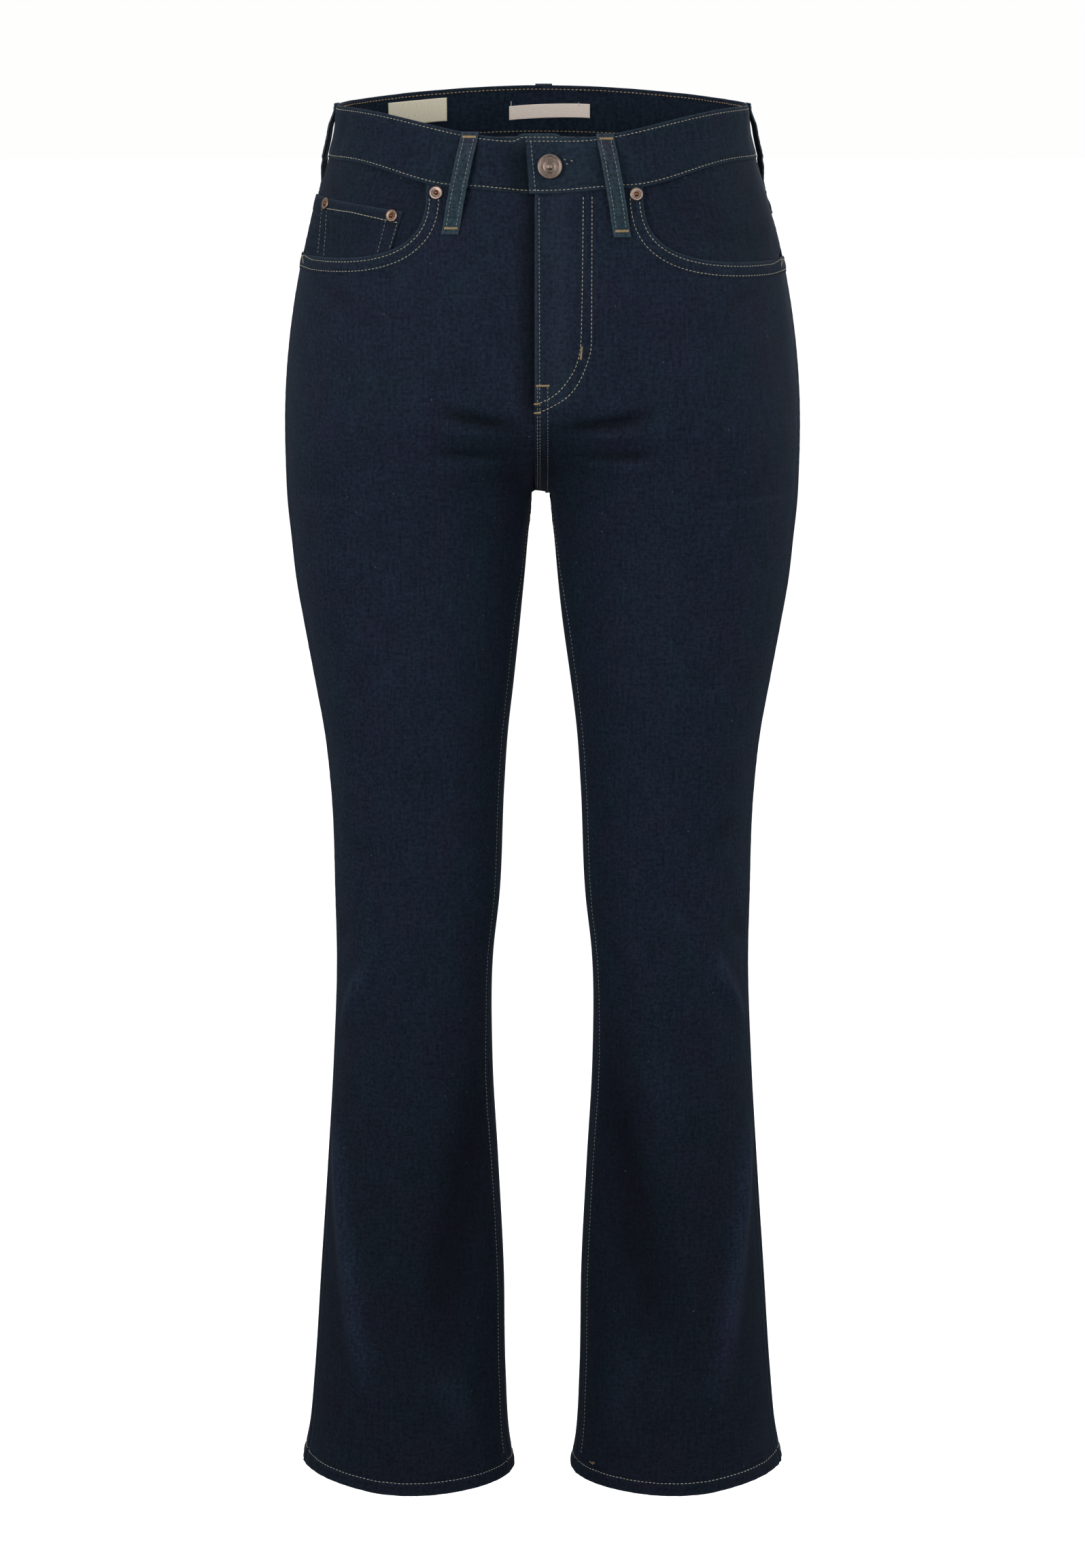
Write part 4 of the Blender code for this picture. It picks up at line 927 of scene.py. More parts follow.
def make_back(name, side):
    level = fan_level(YOKE_SIDE_Z, YOKE_CENTRE_Z)
    ends = panel_ends("back", YOKE_SIDE_Z, YOKE_CENTRE_Z)
    rows = []
    for rise in (TUCK, 0.0018, 0.0008, 0.0002):
        rows.append(lay_row(side, ends, lambda s, x, r=rise: level(s, x) + r, BACK_COLUMNS))
    sides, inners = row_levels(YOKE_SIDE_Z, YOKE_CENTRE_Z, BACK_BANDS, "back")
    rows += lay_rows(side, "back", sides, inners, BACK_COLUMNS)
    turn, z, across = as_grids(rows)
    base = hung(section(side, z, turn), across / across[:, -1:], "back")
    normals = grid_normals(base, -side)
    from_inner = across[:, -1:] - across
    high = z - HEM_Z - 0.003 * np.exp(-across / across[:, -1:] / 0.06)
    lift = fold_relief(base, side, "back")
    # Painted shade in the fold troughs and towards the hem, with lighter fold crests.
    fade = painted_shade_and_wash(base, lift)
    lift += seam_roll(across, from_inner, z, side, "back")
    lift += hem_relief(z, high, across + 0.3, side, "back")
    seam = level(across / across[:, -1:], 0) - z
    lift -= 0.0008 * (1 - past(seam, 0.0005, 0.003))
    wall = wall_at(z)
    wear = 0.3 * np.exp(-(z - HEM_Z) / 0.0016)
    uv = np.stack([grain_place(side, "back", z, turn) + WEAVE["back"], -z], axis=-1)
    grids = lipped(base, normals, lift, across, False, np.full(len(base), SIDE_LIP), SIDE_SINK)
    body = past(z[:, -1], CROTCH_Z, 0.004)
    reach = 0.0018 + 0.0006 * body if side < 0 else 0.0018 * (1 - body) + NO_LIP
    drop = 0.0012 * (1 - body) + (0.001 * body if side < 0 else 0.0)
    base, normals, lift, across = lipped(*grids, True, reach, drop)
    wall, uv, wear, fade, high = padded((wall, uv, wear, fade, high), 2, 2)
    outer, inner = shell(base, normals, lift, wall)
    way = winding(side, "back")
    made = cloth("cloth_back_" + name, outer, inner, uv, "denim", way, wear, fade, "denim_reverse")
    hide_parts("back_" + name)
    remember("back_" + name, outer, grid_normals(outer, -side), across, high=high)
    return made


def make_yoke(name, side):
    high = panel_ends("back", WAIST_SEAM["side"], WAIST_SEAM["back"])
    low = panel_ends("back", YOKE_SIDE_Z, YOKE_CENTRE_Z)
    top = lay_row(side, high, lambda s, x: edge_height(WAIST_SEAM, "back", x) + TUCK, BACK_COLUMNS)
    foot = lay_row(side, low, fan_level(YOKE_SIDE_Z, YOKE_CENTRE_Z), BACK_COLUMNS)
    down = np.concatenate([np.linspace(0, 0.9, 20), [0.93, 0.955, 0.975, 0.988, 0.996, 1.0]])
    turn, z, across = as_grids([[a + (b - a) * t for a, b in zip(top, foot)] for t in down])
    base, normals = skin(side, z, turn)
    from_inner = across[:, -1:] - across
    from_foot = np.linalg.norm(base - base[-1], axis=-1)
    lift = seam_roll(across, from_inner, z, side, "back") + rolled(from_foot, 0.001)
    lift += 0.0007 * (1 - past(from_foot, 0.009, 0.002))
    lift += 0.00018 * wobble(across, side * 2.9, 0.0095) * np.exp(-from_foot / 0.008)
    lift += sum(groove(from_foot, at, 0.0007, 0.00025) for at in YOKE_STITCHES)
    lift -= 0.0007 * tucked_under(z, "back", base[..., 0])
    wear = 0.5 * np.exp(-from_foot / 0.0016)
    uv = np.stack([across + WEAVE["yoke"], -z], axis=-1)
    grids = lipped(base, normals, lift, across, False, np.full(len(base), SIDE_LIP), SIDE_SINK)
    reach, drop = (0.0024, 0.001) if side < 0 else (NO_LIP, 0.0)
    base, normals, lift, across = lipped(*grids, True, np.full(len(base), reach), drop)
    uv, wear = padded((uv, wear), 2, 2)
    outer, inner = shell(base, normals, lift, WALL)
    way = winding(side, "back")
    made = cloth("cloth_yoke_" + name, outer, inner, uv, "denim", way, wear, reverse="denim_reverse")
    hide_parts("yoke_" + name)
    foot = np.linalg.norm(outer - outer[-1], axis=-1)
    remember("yoke_" + name, outer, normals, across, foot=foot)
    return made


# ------------------------------------------------------------------ pockets


def make_facing(name, side):
    rows, columns = 44, 84
    t = np.linspace(0.0, 1.0, columns)
    t = t + 0.35 * (t * t - t) * (1 - t)
    side_top = WAIST_SEAM["side"] + TUCK
    z_rows, turn_rows = [], []
    for k in range(rows):
        down = k / (rows - 1)
        inner_x = side * FACING_INNER
        inner_top = edge_height(WAIST_SEAM, "front", inner_x) + TUCK
        side_z = side_top + (FACING_FOOT_Z - side_top) * down
        inner_z = inner_top + (FACING_FOOT_Z - inner_top) * down
        start = float(outseam_turn(side_z))
        end = float(turn_at_x(side, "front", inner_z, inner_x))
        turn = start + (end - start) * t
        x = section(side, np.full(columns, side_z), turn)[:, 0]
        top = edge_height(WAIST_SEAM, "front", x) + TUCK
        z_rows.append(top + (FACING_FOOT_Z - top) * down)
        turn_rows.append(turn)
    z, turn = np.array(z_rows), np.array(turn_rows)
    base, normals = skin(side, z, turn)
    across = np.concatenate([np.zeros((rows, 1)), np.cumsum(lengths(base, 1), axis=1)], axis=1)
    lift = facing_lift(side, base, across) + rolled(across, 0.0011)
    lift += 0.00022 * wobble(z, side * 1.3 + 0.4, 0.0085) * np.exp(-across / 0.005)
    for x, height, size, width in ((0.118, -0.088, -0.0011, 0.012), (0.095, -0.075, 0.0006, 0.01)):
        spot, _ = skin(side, height, turn_at_x(side, "front", height, side * x))
        lift += size * np.exp(-((np.linalg.norm((base - spot) * (1, 1, 2.2), axis=-1) / width) ** 2))
    lift -= 0.0007 * tucked_under(z, "front", base[..., 0])
    outer, inner = shell(base, normals, lift, WALL)
    uv = np.stack([across + WEAVE["facing"], -z], axis=-1)
    way = winding(side, "front")
    looks = {"material": "denim_facing", "reverse": "denim_reverse"}
    made = cloth("cloth_pocket_facing_" + name, outer, inner, uv, outward=way, **looks)
    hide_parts("pocket_facing_" + name)
    remember("facing_" + name, outer, normals, across)
    return made


def make_watch_pocket():
    side = -1
    edge = np.array([0.0, 0.006, 0.016, 0.03, 0.05, 0.075])
    u = np.concatenate([edge, np.linspace(0.1, 0.9, 48), 1 - edge[::-1]])
    v = np.concatenate([edge, np.linspace(0.1, 1.0, 40)])[:, None]
    top_x, foot_x = (section(side, z, outseam_turn(z) + 0.1)[0] for z in (-0.06, WATCH_FOOT_Z))
    x = (top_x + (foot_x - top_x) * v) * (1 - u) + (-0.0952 - 0.0152 * v) * u
    z = (WATCH_TOP_Z - WATCH_SLOPE * u**0.9) * (1 - v) + WATCH_FOOT_Z * v
    turn = turn_at_x(side, "front", z, x)
    base, normals = skin(side, z, turn)
    width, height = across_and_down(base)
    from_edge = np.minimum(u * width, (1 - u) * width)
    from_top = v * height
    lift = facing_lift(side, base, u * width + 0.004) + WALL + 0.0004
    lift += 0.0006 * (1 - past(from_top, 0.01, 0.002))
    lift += rolled(from_top, 0.001) + rolled(from_edge, 0.0008)
    lift += groove(from_top, 0.0087, 0.0008, 0.0004)
    lift += 0.0003 * (1 - past(from_edge, 0.0062, 0.002))
    lift += 0.00016 * wobble(z, 1.1, 0.008) * np.exp(-from_edge / 0.006)
    outer, inner = shell(base, normals, lift, WALL)
    uv = np.stack([u * width + WEAVE["watch"], -z], axis=-1)
    wear = 0.7 * np.exp(-from_top / 0.0015) + 0.45 * np.exp(-from_edge / 0.0012)
    made = cloth("cloth_watch_pocket", outer, inner, uv, "denim_facing", winding(side, "front"), wear)
    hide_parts("watch_pocket")
    return made


def make_back_pocket(name, side):
    edge = np.array([0.0, 0.004, 0.01, 0.019, 0.032, 0.05])
    u = np.concatenate([edge, np.linspace(0.07, 0.93, 48), 1 - edge[::-1]])
    v = np.concatenate([edge, np.linspace(0.07, 0.95, 52), 1 - edge[::-1]])[:, None]
    side_z = POCKET_TOP_Z - POCKET_SIDE_HEIGHT
    across = 2 * u - 1
    middle = POCKET_MIDDLE + POCKET_SPREAD * v
    half = POCKET_HALF_WIDTH + (POCKET_FOOT_HALF_WIDTH - POCKET_HALF_WIDTH) * v
    place = middle + half * across
    top = POCKET_TOP_Z + POCKET_TILT * u
    foot = side_z + POCKET_TILT * u - (POCKET_POINT + POCKET_TILT / 2) * (1 - np.abs(across))
    z = top + (foot - top) * v
    cos, sin = math.cos(POCKET_TURN), math.sin(POCKET_TURN)
    turn = turn_where(side, "back", z, place, lambda p: side * p[..., 0] * cos - p[..., 1] * sin)
    base, normals = skin(side, z, turn)
    lift = fold_relief(base, side, "back")
    width, height = across_and_down(base)
    from_edge = np.minimum(u, 1 - u) * width
    from_top, from_foot = v * height, (1 - v) * height
    rim = np.minimum(from_edge, from_foot)
    lift = lift + WALL + 0.0004 + rolled(from_edge, 0.0009) + rolled(from_foot, 0.0009)
    lift += rolled(from_top, 0.0012) + 0.0007 * (1 - past(from_top, 0.0125, 0.002))
    lift += 0.0004 * (1 - past(rim, 0.0082, 0.002))
    lift += 0.00018 * wobble(z + u * 0.1, side * 4.1, 0.009) * np.exp(-rim / 0.008)
    outer, inner = shell(base, normals, lift, WALL)
    uv = np.stack([u * width + WEAVE["pocket"], -z], axis=-1)
    wear = 0.6 * np.exp(-np.minimum(from_top, rim) / 0.0015)
    made = cloth("cloth_back_pocket_" + name, outer, inner, uv, "denim", winding(side, "back"), wear)
    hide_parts("back_pocket_" + name)
    rim = (from_edge, from_foot, from_top, u)
    remember("back_pocket_" + name, outer, normals, u * width, rim=rim)
    return made


# ------------------------------------------------------------------ waistband and loops


def waist_skin(angle, z, lift):
    """Points and normals off the waist's section. Angle 0 is the left side, a right angle the front."""

    def at(turned, height):
        outer, front, back = (through(k, height) for k in ("outer", "front", "back"))
        x = outer * power(np.cos(turned), 2 / ROUNDNESS)
        y = (back - front) / 2 - (back + front) / 2 * power(np.sin(turned), 2 / ROUNDNESS)
        return np.stack(np.broadcast_arrays(x, y, height), axis=-1)

    around = at(angle - 1e-3, z) - at(angle + 1e-3, z)
    up = at(angle, z + 5e-4) - at(angle, z - 5e-4)
    normal = unit(np.cross(around, up))
    return at(angle, z) + normal * np.asarray(lift)[..., None], normal


def waist_angle(x, z):
    outer = through("outer", z)
    return math.pi / 2 - np.arcsin(power(np.clip(x / outer, -1, 1), ROUNDNESS / 2))


def band_place(angle, down):
    """Heights on the band: down runs from 0 at the top edge to 1 at the seam."""
    z = np.zeros(np.broadcast(angle, down).shape)
    for _ in range(3):
        x = waist_skin(angle, z, 0.0)[0][..., 0]
        front = np.sin(angle) > 0
        top, foot = (
            np.where(front, edge_height(edge, "front", x), edge_height(edge, "back", x))
            for edge in (BAND_TOP, WAIST_SEAM)
        )
        z = top + (foot - top) * down
    return z, x, top, foot


def band_lift(angle, x, from_top, from_foot, around):
    """The band's outer face: proud of the seam, drawn in along its stitching and softly rippled."""
    tucked = smooth_step((x - UNDERLAP_START_X) / (UNDERLAP_SET_X - UNDERLAP_START_X))
    tucked = np.where(angle < -math.pi, tucked, 0.0)
    lift = BAND_RISE - (BAND_WALL + LAP_GAP) * tucked
    lift = lift + 0.0003 * smooth_step(np.minimum(from_top, from_foot) / 0.006)
    lift += sum(groove(gap, BAND_STITCH, 0.0009, 0.00035) for gap in (from_top, from_foot))
    lift += 0.00022 * wobble(around, 1.0, 0.0105) * bell(from_foot, 0, 0.008)
    lift += 0.00014 * wobble(around, 2.0, 0.012) * bell(from_top, 0, 0.008)
    lift += 0.0005 * wobble(around + 0.4 * from_top, 4.0, 0.062) * smooth_step(from_foot / 0.01)
    return lift, tucked


def make_waistband():
    share = edged(np.array(LAP_EDGE) / BAND_ROUND, 416)
    down = edged(np.array(BAND_EDGE) / BAND_DEPTH, 7)[:, None]
    lap_x = LAP_TOP_X + (LAP_FOOT_X - LAP_TOP_X) * down
    start = waist_angle(lap_x, 0.0)
    end = waist_angle(UNDERLAP_X, 0.0) - 2 * math.pi
    angle = start + (end - start) * share
    z, x, top, foot = band_place(angle, down)
    from_lap = share * BAND_ROUND
    from_top, from_foot = top - z, z - foot
    lift, tucked = band_lift(angle, x, from_top, from_foot, from_lap)
    lift += rolled(from_top, 0.0013) + rolled(from_foot, 0.0009)
    lift += rolled(from_lap, 0.0011) + rolled(BAND_ROUND - from_lap, 0.0008)
    lift += groove(from_lap, 0.0032, 0.0008, 0.0003) + 0.0009 * bell(from_lap, 0, 0.009)
    peek = past(x, -0.02, 0.006) * (1 - past(x, 0.008, 0.008))
    z = z + 0.003 * peek * (tucked > 0.5) * smooth_step(1 - from_top / 0.02) * tucked
    outer, normals = waist_skin(angle, z, lift)
    wall = BAND_WALL + 2 * rolled(from_top, 0.0013) * 0.9
    inner, _ = waist_skin(angle, z, lift - wall)
    around = np.broadcast_to(from_lap, z.shape)
    uv = np.stack([around + WEAVE["band"], -z], axis=-1)
    wear = 0.45 * np.exp(-from_top / 0.0014) + 0.45 * np.exp(-from_foot / 0.0013)
    wear = wear + 0.4 * np.exp(-from_lap / 0.0016) + 0.55 * tucked * bell(from_top, 0, 0.008)
    wear = wear + 0.22 * bell(x, 0.012, 0.03) * (np.sin(angle) > 0) * (angle > 0)
    # Painted shadow on the band's underlap, beside the lap's edge.
    beside = past(x, -0.03, 0.014) * (np.sin(angle) > 0) * (angle < -math.pi)
    made = cloth("cloth_waistband", outer, inner, uv, "denim_band", 1, wear, -0.5 * beside)
    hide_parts("waistband")
    remember("band", outer, normals, around, from_top=from_top, from_foot=from_foot)
    remember("band_inner", inner, -normals, around)
    return made


def make_belt_loop(loop):
    side, face = loop["side"], loop["face"]
    near_x = loop["top"] * WAIST_HALF_WIDTH
    top_z = float(edge_height(BAND_TOP, face, near_x))
    seam_z = float(edge_height(WAIST_SEAM, face, near_x))
    ends = ([0.0, 0.004, 0.01, 0.02], [0.98, 0.99, 0.996, 1.0])
    share = np.concatenate([ends[0], np.linspace(0.03, 0.97, 50), ends[1]])[:, None]
    length = loop["length"]
    z = top_z + 0.0006 - (length + 0.0006) * share
    x = side * (loop["top"] + (loop["foot"] - loop["top"]) * share) * through("outer", z)
    free = np.clip((share - LOOP_TACK) / LOOP_FREE, 0.0, 1.0)
    bow = LOOP_BOW * smooth_step(LOOP_FLATNESS * np.sin(math.pi * free))
    seat = 0.0006 + BAND_RISE * smooth_step((z - seam_z + 0.004) / 0.003)
    tack = bell(share, 0.045, 0.022) + bell(share, 0.945, 0.02)
    turn = turn_at_x(side, face, z, x)
    foot, out = skin(side, z, turn)
    foot, out = foot[:, 0], out[:, 0]
    level = unit(np.cross(out, (0.0, 0.0, 1.0)))
    side_columns = np.array([1, 0.985, 0.95, 0.88])
    across = np.concatenate([-side_columns, np.linspace(-0.8, 0.8, 17), side_columns[::-1]])
    from_edge = (1 - np.abs(across)) * LOOP_WIDTH / 2
    from_end = np.minimum(share, 1 - share) * length
    lift = seat + bow + LOOP_WALL + rolled(from_edge, 0.0009) + rolled(from_end, 0.0009) - 0.0003 * tack
    lift = lift + groove(from_edge, LOOP_STITCH, 0.0007, 0.00035)
    lift = lift + 0.00012 * wobble(share * length, loop["top"] * 9, 0.006)
    edges = foot[:, None] + level[:, None] * (across * LOOP_WIDTH / 2)[None, :, None]
    outer = edges + out[:, None] * lift[..., None]
    inner = edges + out[:, None] * (seat + bow - rolled(from_edge, 0.0007))[..., None]
    weave = across * LOOP_WIDTH / 2 + WEAVE["loop"] + 0.1 * loop["top"]
    uv = np.stack(np.broadcast_arrays(weave, -z), axis=-1)
    wear = 0.8 * np.exp(-from_edge / 0.001) + 0.5 * np.exp(-from_end / 0.0012)
    made = cloth("cloth_" + loop["name"], outer, inner, uv, "denim_loop", -1, wear)
    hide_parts(loop["name"])
    LOOP_PATHS[loop["name"]] = (outer, out, across, share[:, 0], level)
    return made


# ------------------------------------------------------------------ fly


def front_patch(name, x, z, lift, wall, material, node):
    x, z, lift, wall = np.broadcast_arrays(x, z, lift, wall)
    outer, inner = np.zeros(x.shape + (3,)), np.zeros(x.shape + (3,))
    right = x < CENTRE_X
    for side, here in ((-1, right), (1, ~right)):
        turn = turn_at_x(side, "front", z[here], x[here])
        base, normals = skin(side, z[here], turn)
        outer[here] = base + normals * lift[here][:, None]
        inner[here] = base + normals * (lift - wall)[here][:, None]
    uv = np.stack([x + WEAVE["fly"], -z], axis=-1)
    made = cloth(name, outer, inner, uv, material, 1)
    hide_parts(node)
    return made


# The tape across: place beside the centre, lift and wall, with its raised cord in the middle.
TAPE_SECTION = (
    (-0.013, -0.0042, 0.001),
    (-0.006, -0.0052, 0.001),
    (-0.0027, -0.0052, 0.001),
    (-0.0023, -0.0049, 0.0016),
    (0.0, -0.0049, 0.0016),
    (0.0023, -0.0049, 0.0016),
    (0.0027, -0.0052, 0.001),
    (0.006, -0.0052, 0.001),
    (0.013, -0.0042, 0.001),
)
TAPE_ENDS_Z = (-0.0565, -0.19)
TEETH_FROM, TEETH_TO, TOOTH_PITCH = -0.062, -0.188, 0.0013
SLIDER_TOP_Z, SLIDER_LENGTH = -0.0585, 0.03


def make_fly():
    x = np.linspace(-0.018, 0.034, 40)
    down = np.linspace(0.0, 1.0, 46)[:, None]
    top_z = edge_height(WAIST_SEAM, "front", x) - 0.0002
    foot_z = -0.2 + 12.0 * (x + 0.013) ** 2
    z = top_z + (foot_z - top_z) * down
    shield = front_patch("cloth_fly_shield", x, z, -0.0066, WALL, "denim_facing", "fly_shield")
    x, lift, wall = np.array(TAPE_SECTION).T
    z = np.linspace(*TAPE_ENDS_Z, 40)[:, None]
    tape = front_patch("cloth_zip_tape", CENTRE_X + x, z, lift, wall, "zip_tape", "zip_tape")
    return shield, tape


def make_zip():
    """The teeth in two rows that meet, and the slider closed at the top, all behind the front's edge."""
    points, faces = [], []
    for k, height in enumerate(np.arange(TEETH_FROM, TEETH_TO, -TOOTH_PITCH)):
        way = 1 if k % 2 else -1
        for corner in ((-0.0004, 0), (0.0019, 0), (0.0019, 1), (-0.0004, 1)):
            for lift in (-0.0049, -0.0038):
                points.append((CENTRE_X + way * corner[0], height - 0.001 * corner[1], lift))
        a = k * 8
        faces += [[a, a + 2, a + 4, a + 6], [a + 1, a + 7, a + 5, a + 3], [a, a + 1, a + 3, a + 2]]
        faces += [[a + 2, a + 3, a + 5, a + 4], [a + 4, a + 5, a + 7, a + 6], [a + 6, a + 7, a + 1, a]]
    points = np.array(points)
    side = np.where(points[:, 0] < CENTRE_X, -1, 1)
    placed = np.zeros((len(points), 3))
    for sign in (-1, 1):
        here = side == sign
        turn = turn_at_x(sign, "front", points[here, 1], points[here, 0])
        placed[here] = skin(sign, points[here, 1], turn, points[here, 2])[0]
    put("metal_zip_teeth", placed, faces, "zip_metal", smooth=False)
    t = np.linspace(-1, 1, 17)
    down = np.linspace(0, 1, 26)[:, None]
    blunt = np.sqrt(1 - (2 * down - 1) ** 8 * 0.98)
    half = 0.004 - 0.0015 * smooth_step(down * 1.6) + 0.0004 * smooth_step(down * 3 - 1.2)
    x = CENTRE_X + half * blunt * t
    z = SLIDER_TOP_Z - SLIDER_LENGTH * down
    bulge = 0.0013 * np.sqrt(np.clip(1 - t**4, 0, 1)) * blunt
    lift, wall = bulge - 0.0049, 0.0012 + bulge * 1.1
    front_patch("metal_zip_slider", x, z, lift, wall, "zip_metal", "zip_slider")


# ------------------------------------------------------------------ stitches

def add_stitches(colour, starts, ends, normals, radius=THREAD, lift=0.0):
    """Each stitch is a short thread from its start to its end, its ends sunk into the cloth."""
    run = unit(ends - starts)
    side_way = unit(np.cross(run, normals))
    STITCHES[colour].append((starts, ends, side_way, np.cross(side_way, run), radius, lift))


def thread_mesh(name, sets):
    rings = ((0.0, -0.75, 0.75), (0.18, 0.25, 1.0), (0.5, 0.5, 1.0), (0.82, 0.25, 1.0), (1.0, -0.75, 0.75))
    sides = 5
    size = len(rings) * sides
    turns = [2 * math.pi * k / sides for k in range(sides)]
    points = []
    for starts, ends, side_way, up, radius, lift in sets:
        block = []
        for along, rise, share in rings:
            centre = starts + (ends - starts) * along + up * (rise * radius + lift)
            for turn in turns:
                out, high = math.cos(turn) * radius * share, math.sin(turn) * radius * share * 0.85
                block.append(centre + side_way * out + up * high)
        points.append(np.stack(block, axis=1).reshape(-1, 3))
    points = np.concatenate(points)
    quads = []
    for ring in range(len(rings) - 1):
        for k in range(sides):
            a, b = ring * sides + k, ring * sides + (k + 1) % sides
            quads.append([a, b, b + sides, a + sides])
    count = len(points) // size
    faces = np.arange(count)[:, None, None] * size + np.array(quads)
    uv = np.tile(np.stack([np.linspace(0, 1, size), np.zeros(size)], axis=-1), (count, 1))
    put(name, points, faces.reshape(-1, 4).tolist(), name, uv)


def along_path(points, normals, pitch, stitch):
    """Starts, ends and normals of stitches spaced along a path."""
    where = run_along(points)
    count = max(1, int((where[-1] - stitch) / pitch) + 1)
    first = np.arange(count) * pitch
    middle = unit(pick(first + stitch / 2, where, normals))
    return pick(first, where, points), pick(first + stitch, where, points), middle


def sew(colour, points, normals, pitch=PITCH, stitch=STITCH, radius=THREAD, lift=0.0):
    starts, ends, middle = along_path(points, normals, pitch, stitch)
    add_stitches(colour, starts, ends, middle, radius, lift)


def bartack(colour, centre, normal, along, length, width):
    """A dense bar of threads across the given direction."""
    along = unit(np.asarray(along, float))
    across = unit(np.cross(normal, along))
    place = np.arange(-length / 2, length / 2 + 1e-9, TACK_PITCH)
    wave = 0.12 * width * np.sin(place * 5200.0)
    middle = centre + along * place[:, None] + across * wave[:, None] + normal * 0.00015
    starts, ends = middle - across * width / 2, middle + across * width / 2
    add_stitches(colour, starts, ends, np.broadcast_to(normal, starts.shape), TACK_THREAD)


def cast(trees, points, direction=(0.0, 1.0, 0.0)):
    """Where lines from outside first meet the named pieces, and the normals there."""
    direction = Vector(direction)
    places, normals = [], []
    for point in points:
        origin = Vector(point) - direction * 0.6
        best = None
        for name in trees:
            hit, normal, _, distance = TREES[name].ray_cast(origin, direction)
            if hit is not None and (best is None or distance < best[2]):
                best = (hit, normal, distance)
        if best is not None:
            places.append(best[0])
            normals.append(best[1] if best[1].dot(direction) < 0 else -best[1])
    return np.array(places), np.array(normals)


def smooth_normals(normals, passes=3):
    for _ in range(passes):
        longer = np.concatenate([normals[:1], normals, normals[-1:]])
        normals = (longer[:-2] + 2 * longer[1:-1] + longer[2:]) / 4
    return unit(normals)


def dense(xz, step=0.001):
    xz = np.asarray(xz, float)
    where = run_along(xz)
    return pick(np.linspace(0.0, where[-1], max(2, int(where[-1] / step))), where, xz)


def sew_seen(colour, trees, xz, face="front", **options):
    """Stitches along a line given by x and z as seen from the front or the back."""
    line = dense(xz)
    points = np.stack([line[:, 0], np.zeros(len(line)), line[:, 1]], axis=-1)
    places, normals = cast(trees, points, (0, 1, 0) if face == "front" else (0, -1, 0))
    sew(colour, places, smooth_normals(normals), **options)


def rounded(points, steps=12):
    """A smooth curve through a short row of points."""
    points = np.asarray(points, float)
    longer = np.concatenate([[2 * points[0] - points[1]], points, [2 * points[-1] - points[-2]]])
    t = np.linspace(0.0, 1.0, steps, endpoint=False)[:, None]
    curve = []
    for a, b, c, d in zip(longer, longer[1:], longer[2:], longer[3:]):
        bend = 2 * a - 5 * b + 4 * c - d
        twist = 3 * b - a - 3 * c + d
        curve.append(0.5 * (2 * b + (c - a) * t + bend * t**2 + twist * t**3))
    return np.concatenate(curve + [points[-1:]])


def sew_drawn(colour, drawn, **options):
    """Stitches through a row of (point, normal)."""
    points, normals = (np.array(part) for part in zip(*drawn))
    sew(colour, points, smooth_normals(normals), **options)


def sew_column(colour, name, distance, from_inner, z_from, z_to, **options):
    """Stitches down a panel at a distance from its side seam or its inner edge."""
    grid, normals, across = (GRIDS[name][k] for k in ("grid", "normals", "across"))
    drawn = []
    for row, where in enumerate(across):
        want = where[-1] - distance if from_inner else distance
        place = pick(want, where, grid[row])
        if z_to <= place[2] <= z_from:
            drawn.append((place, pick(want, where, normals[row])))
    sew_drawn(colour, drawn, **options)


def sew_field(colour, name, field, level, rows=slice(None), columns=None, **options):
    """Stitches across a grid where a field, rising or falling down each column, equals level."""
    grid, normals = GRIDS[name]["grid"][rows], GRIDS[name]["normals"][rows]
    field = field[rows]
    drawn = []
    for column in range(grid.shape[1]) if columns is None else columns:
        order = np.argsort(field[:, column])
        down = field[order, column]
        if down[0] <= level <= down[-1]:
            drawn.append([pick(level, down, part[order, column]) for part in (grid, normals)])
    sew_drawn(colour, drawn, **options)


def sew_panels(name, side):
    front, back, yoke = "front_" + name, "back_" + name, "yoke_" + name
    sew_column("thread_grey", front, INSEAM_STITCH, True, CROTCH_Z - 0.006, HEM_Z + 0.012)
    for panel in (front, back):
        high = GRIDS[panel]["high"]
        sew_field("thread_pale", panel, high, HEM_STITCH, slice(-20, None), radius=0.00022)
    for level in MOUTH_STITCHES:
        sew_field("thread_cream", front, GRIDS[front]["mouth"], level, slice(0, 41), radius=0.00027)
    for level in YOKE_STITCHES:
        sew_field("thread_cream", yoke, GRIDS[yoke]["foot"], level, slice(8, None))
    for level in SEAT_STITCHES if side > 0 else ():
        sew_column("thread_cream", yoke, level, True, -0.03, -0.102)
        sew_column("thread_cream", back, level, True, -0.098, CROTCH_Z + 0.004)


def sew_band():
    for edge, inner_level in (("from_top", 0.0026), ("from_foot", 0.0062)):
        field = GRIDS["band"][edge]
        sew_field("thread_cream", "band", field, BAND_STITCH, radius=0.00028)
        sew_field("thread_gold", "band_inner", field, inner_level, radius=0.00034)
    sew_seen("thread_grey", ["cloth_waistband"], [(-0.0079, -0.0205), (-0.0046, -0.0545)])


# The fly's two curved rows, in millimetres as seen from the front.
FLY_ROWS = (
    (
        (33.3, -57.3), (33.2, -100), (33.1, -140), (33, -154.7), (32.4, -161), (30.7, -167.1),
        (27.6, -175.6), (23.4, -183.6), (18.4, -190), (12.4, -194.7), (4.1, -199.3), (-4.6, -202.8),
    ),
    (
        (27.4, -57.6), (27, -100), (26.4, -140), (25.6, -158), (23.2, -169), (19.4, -177),
        (12.4, -186.4), (5.6, -192), (-0.6, -195), (-5, -196.6),
    ),
)


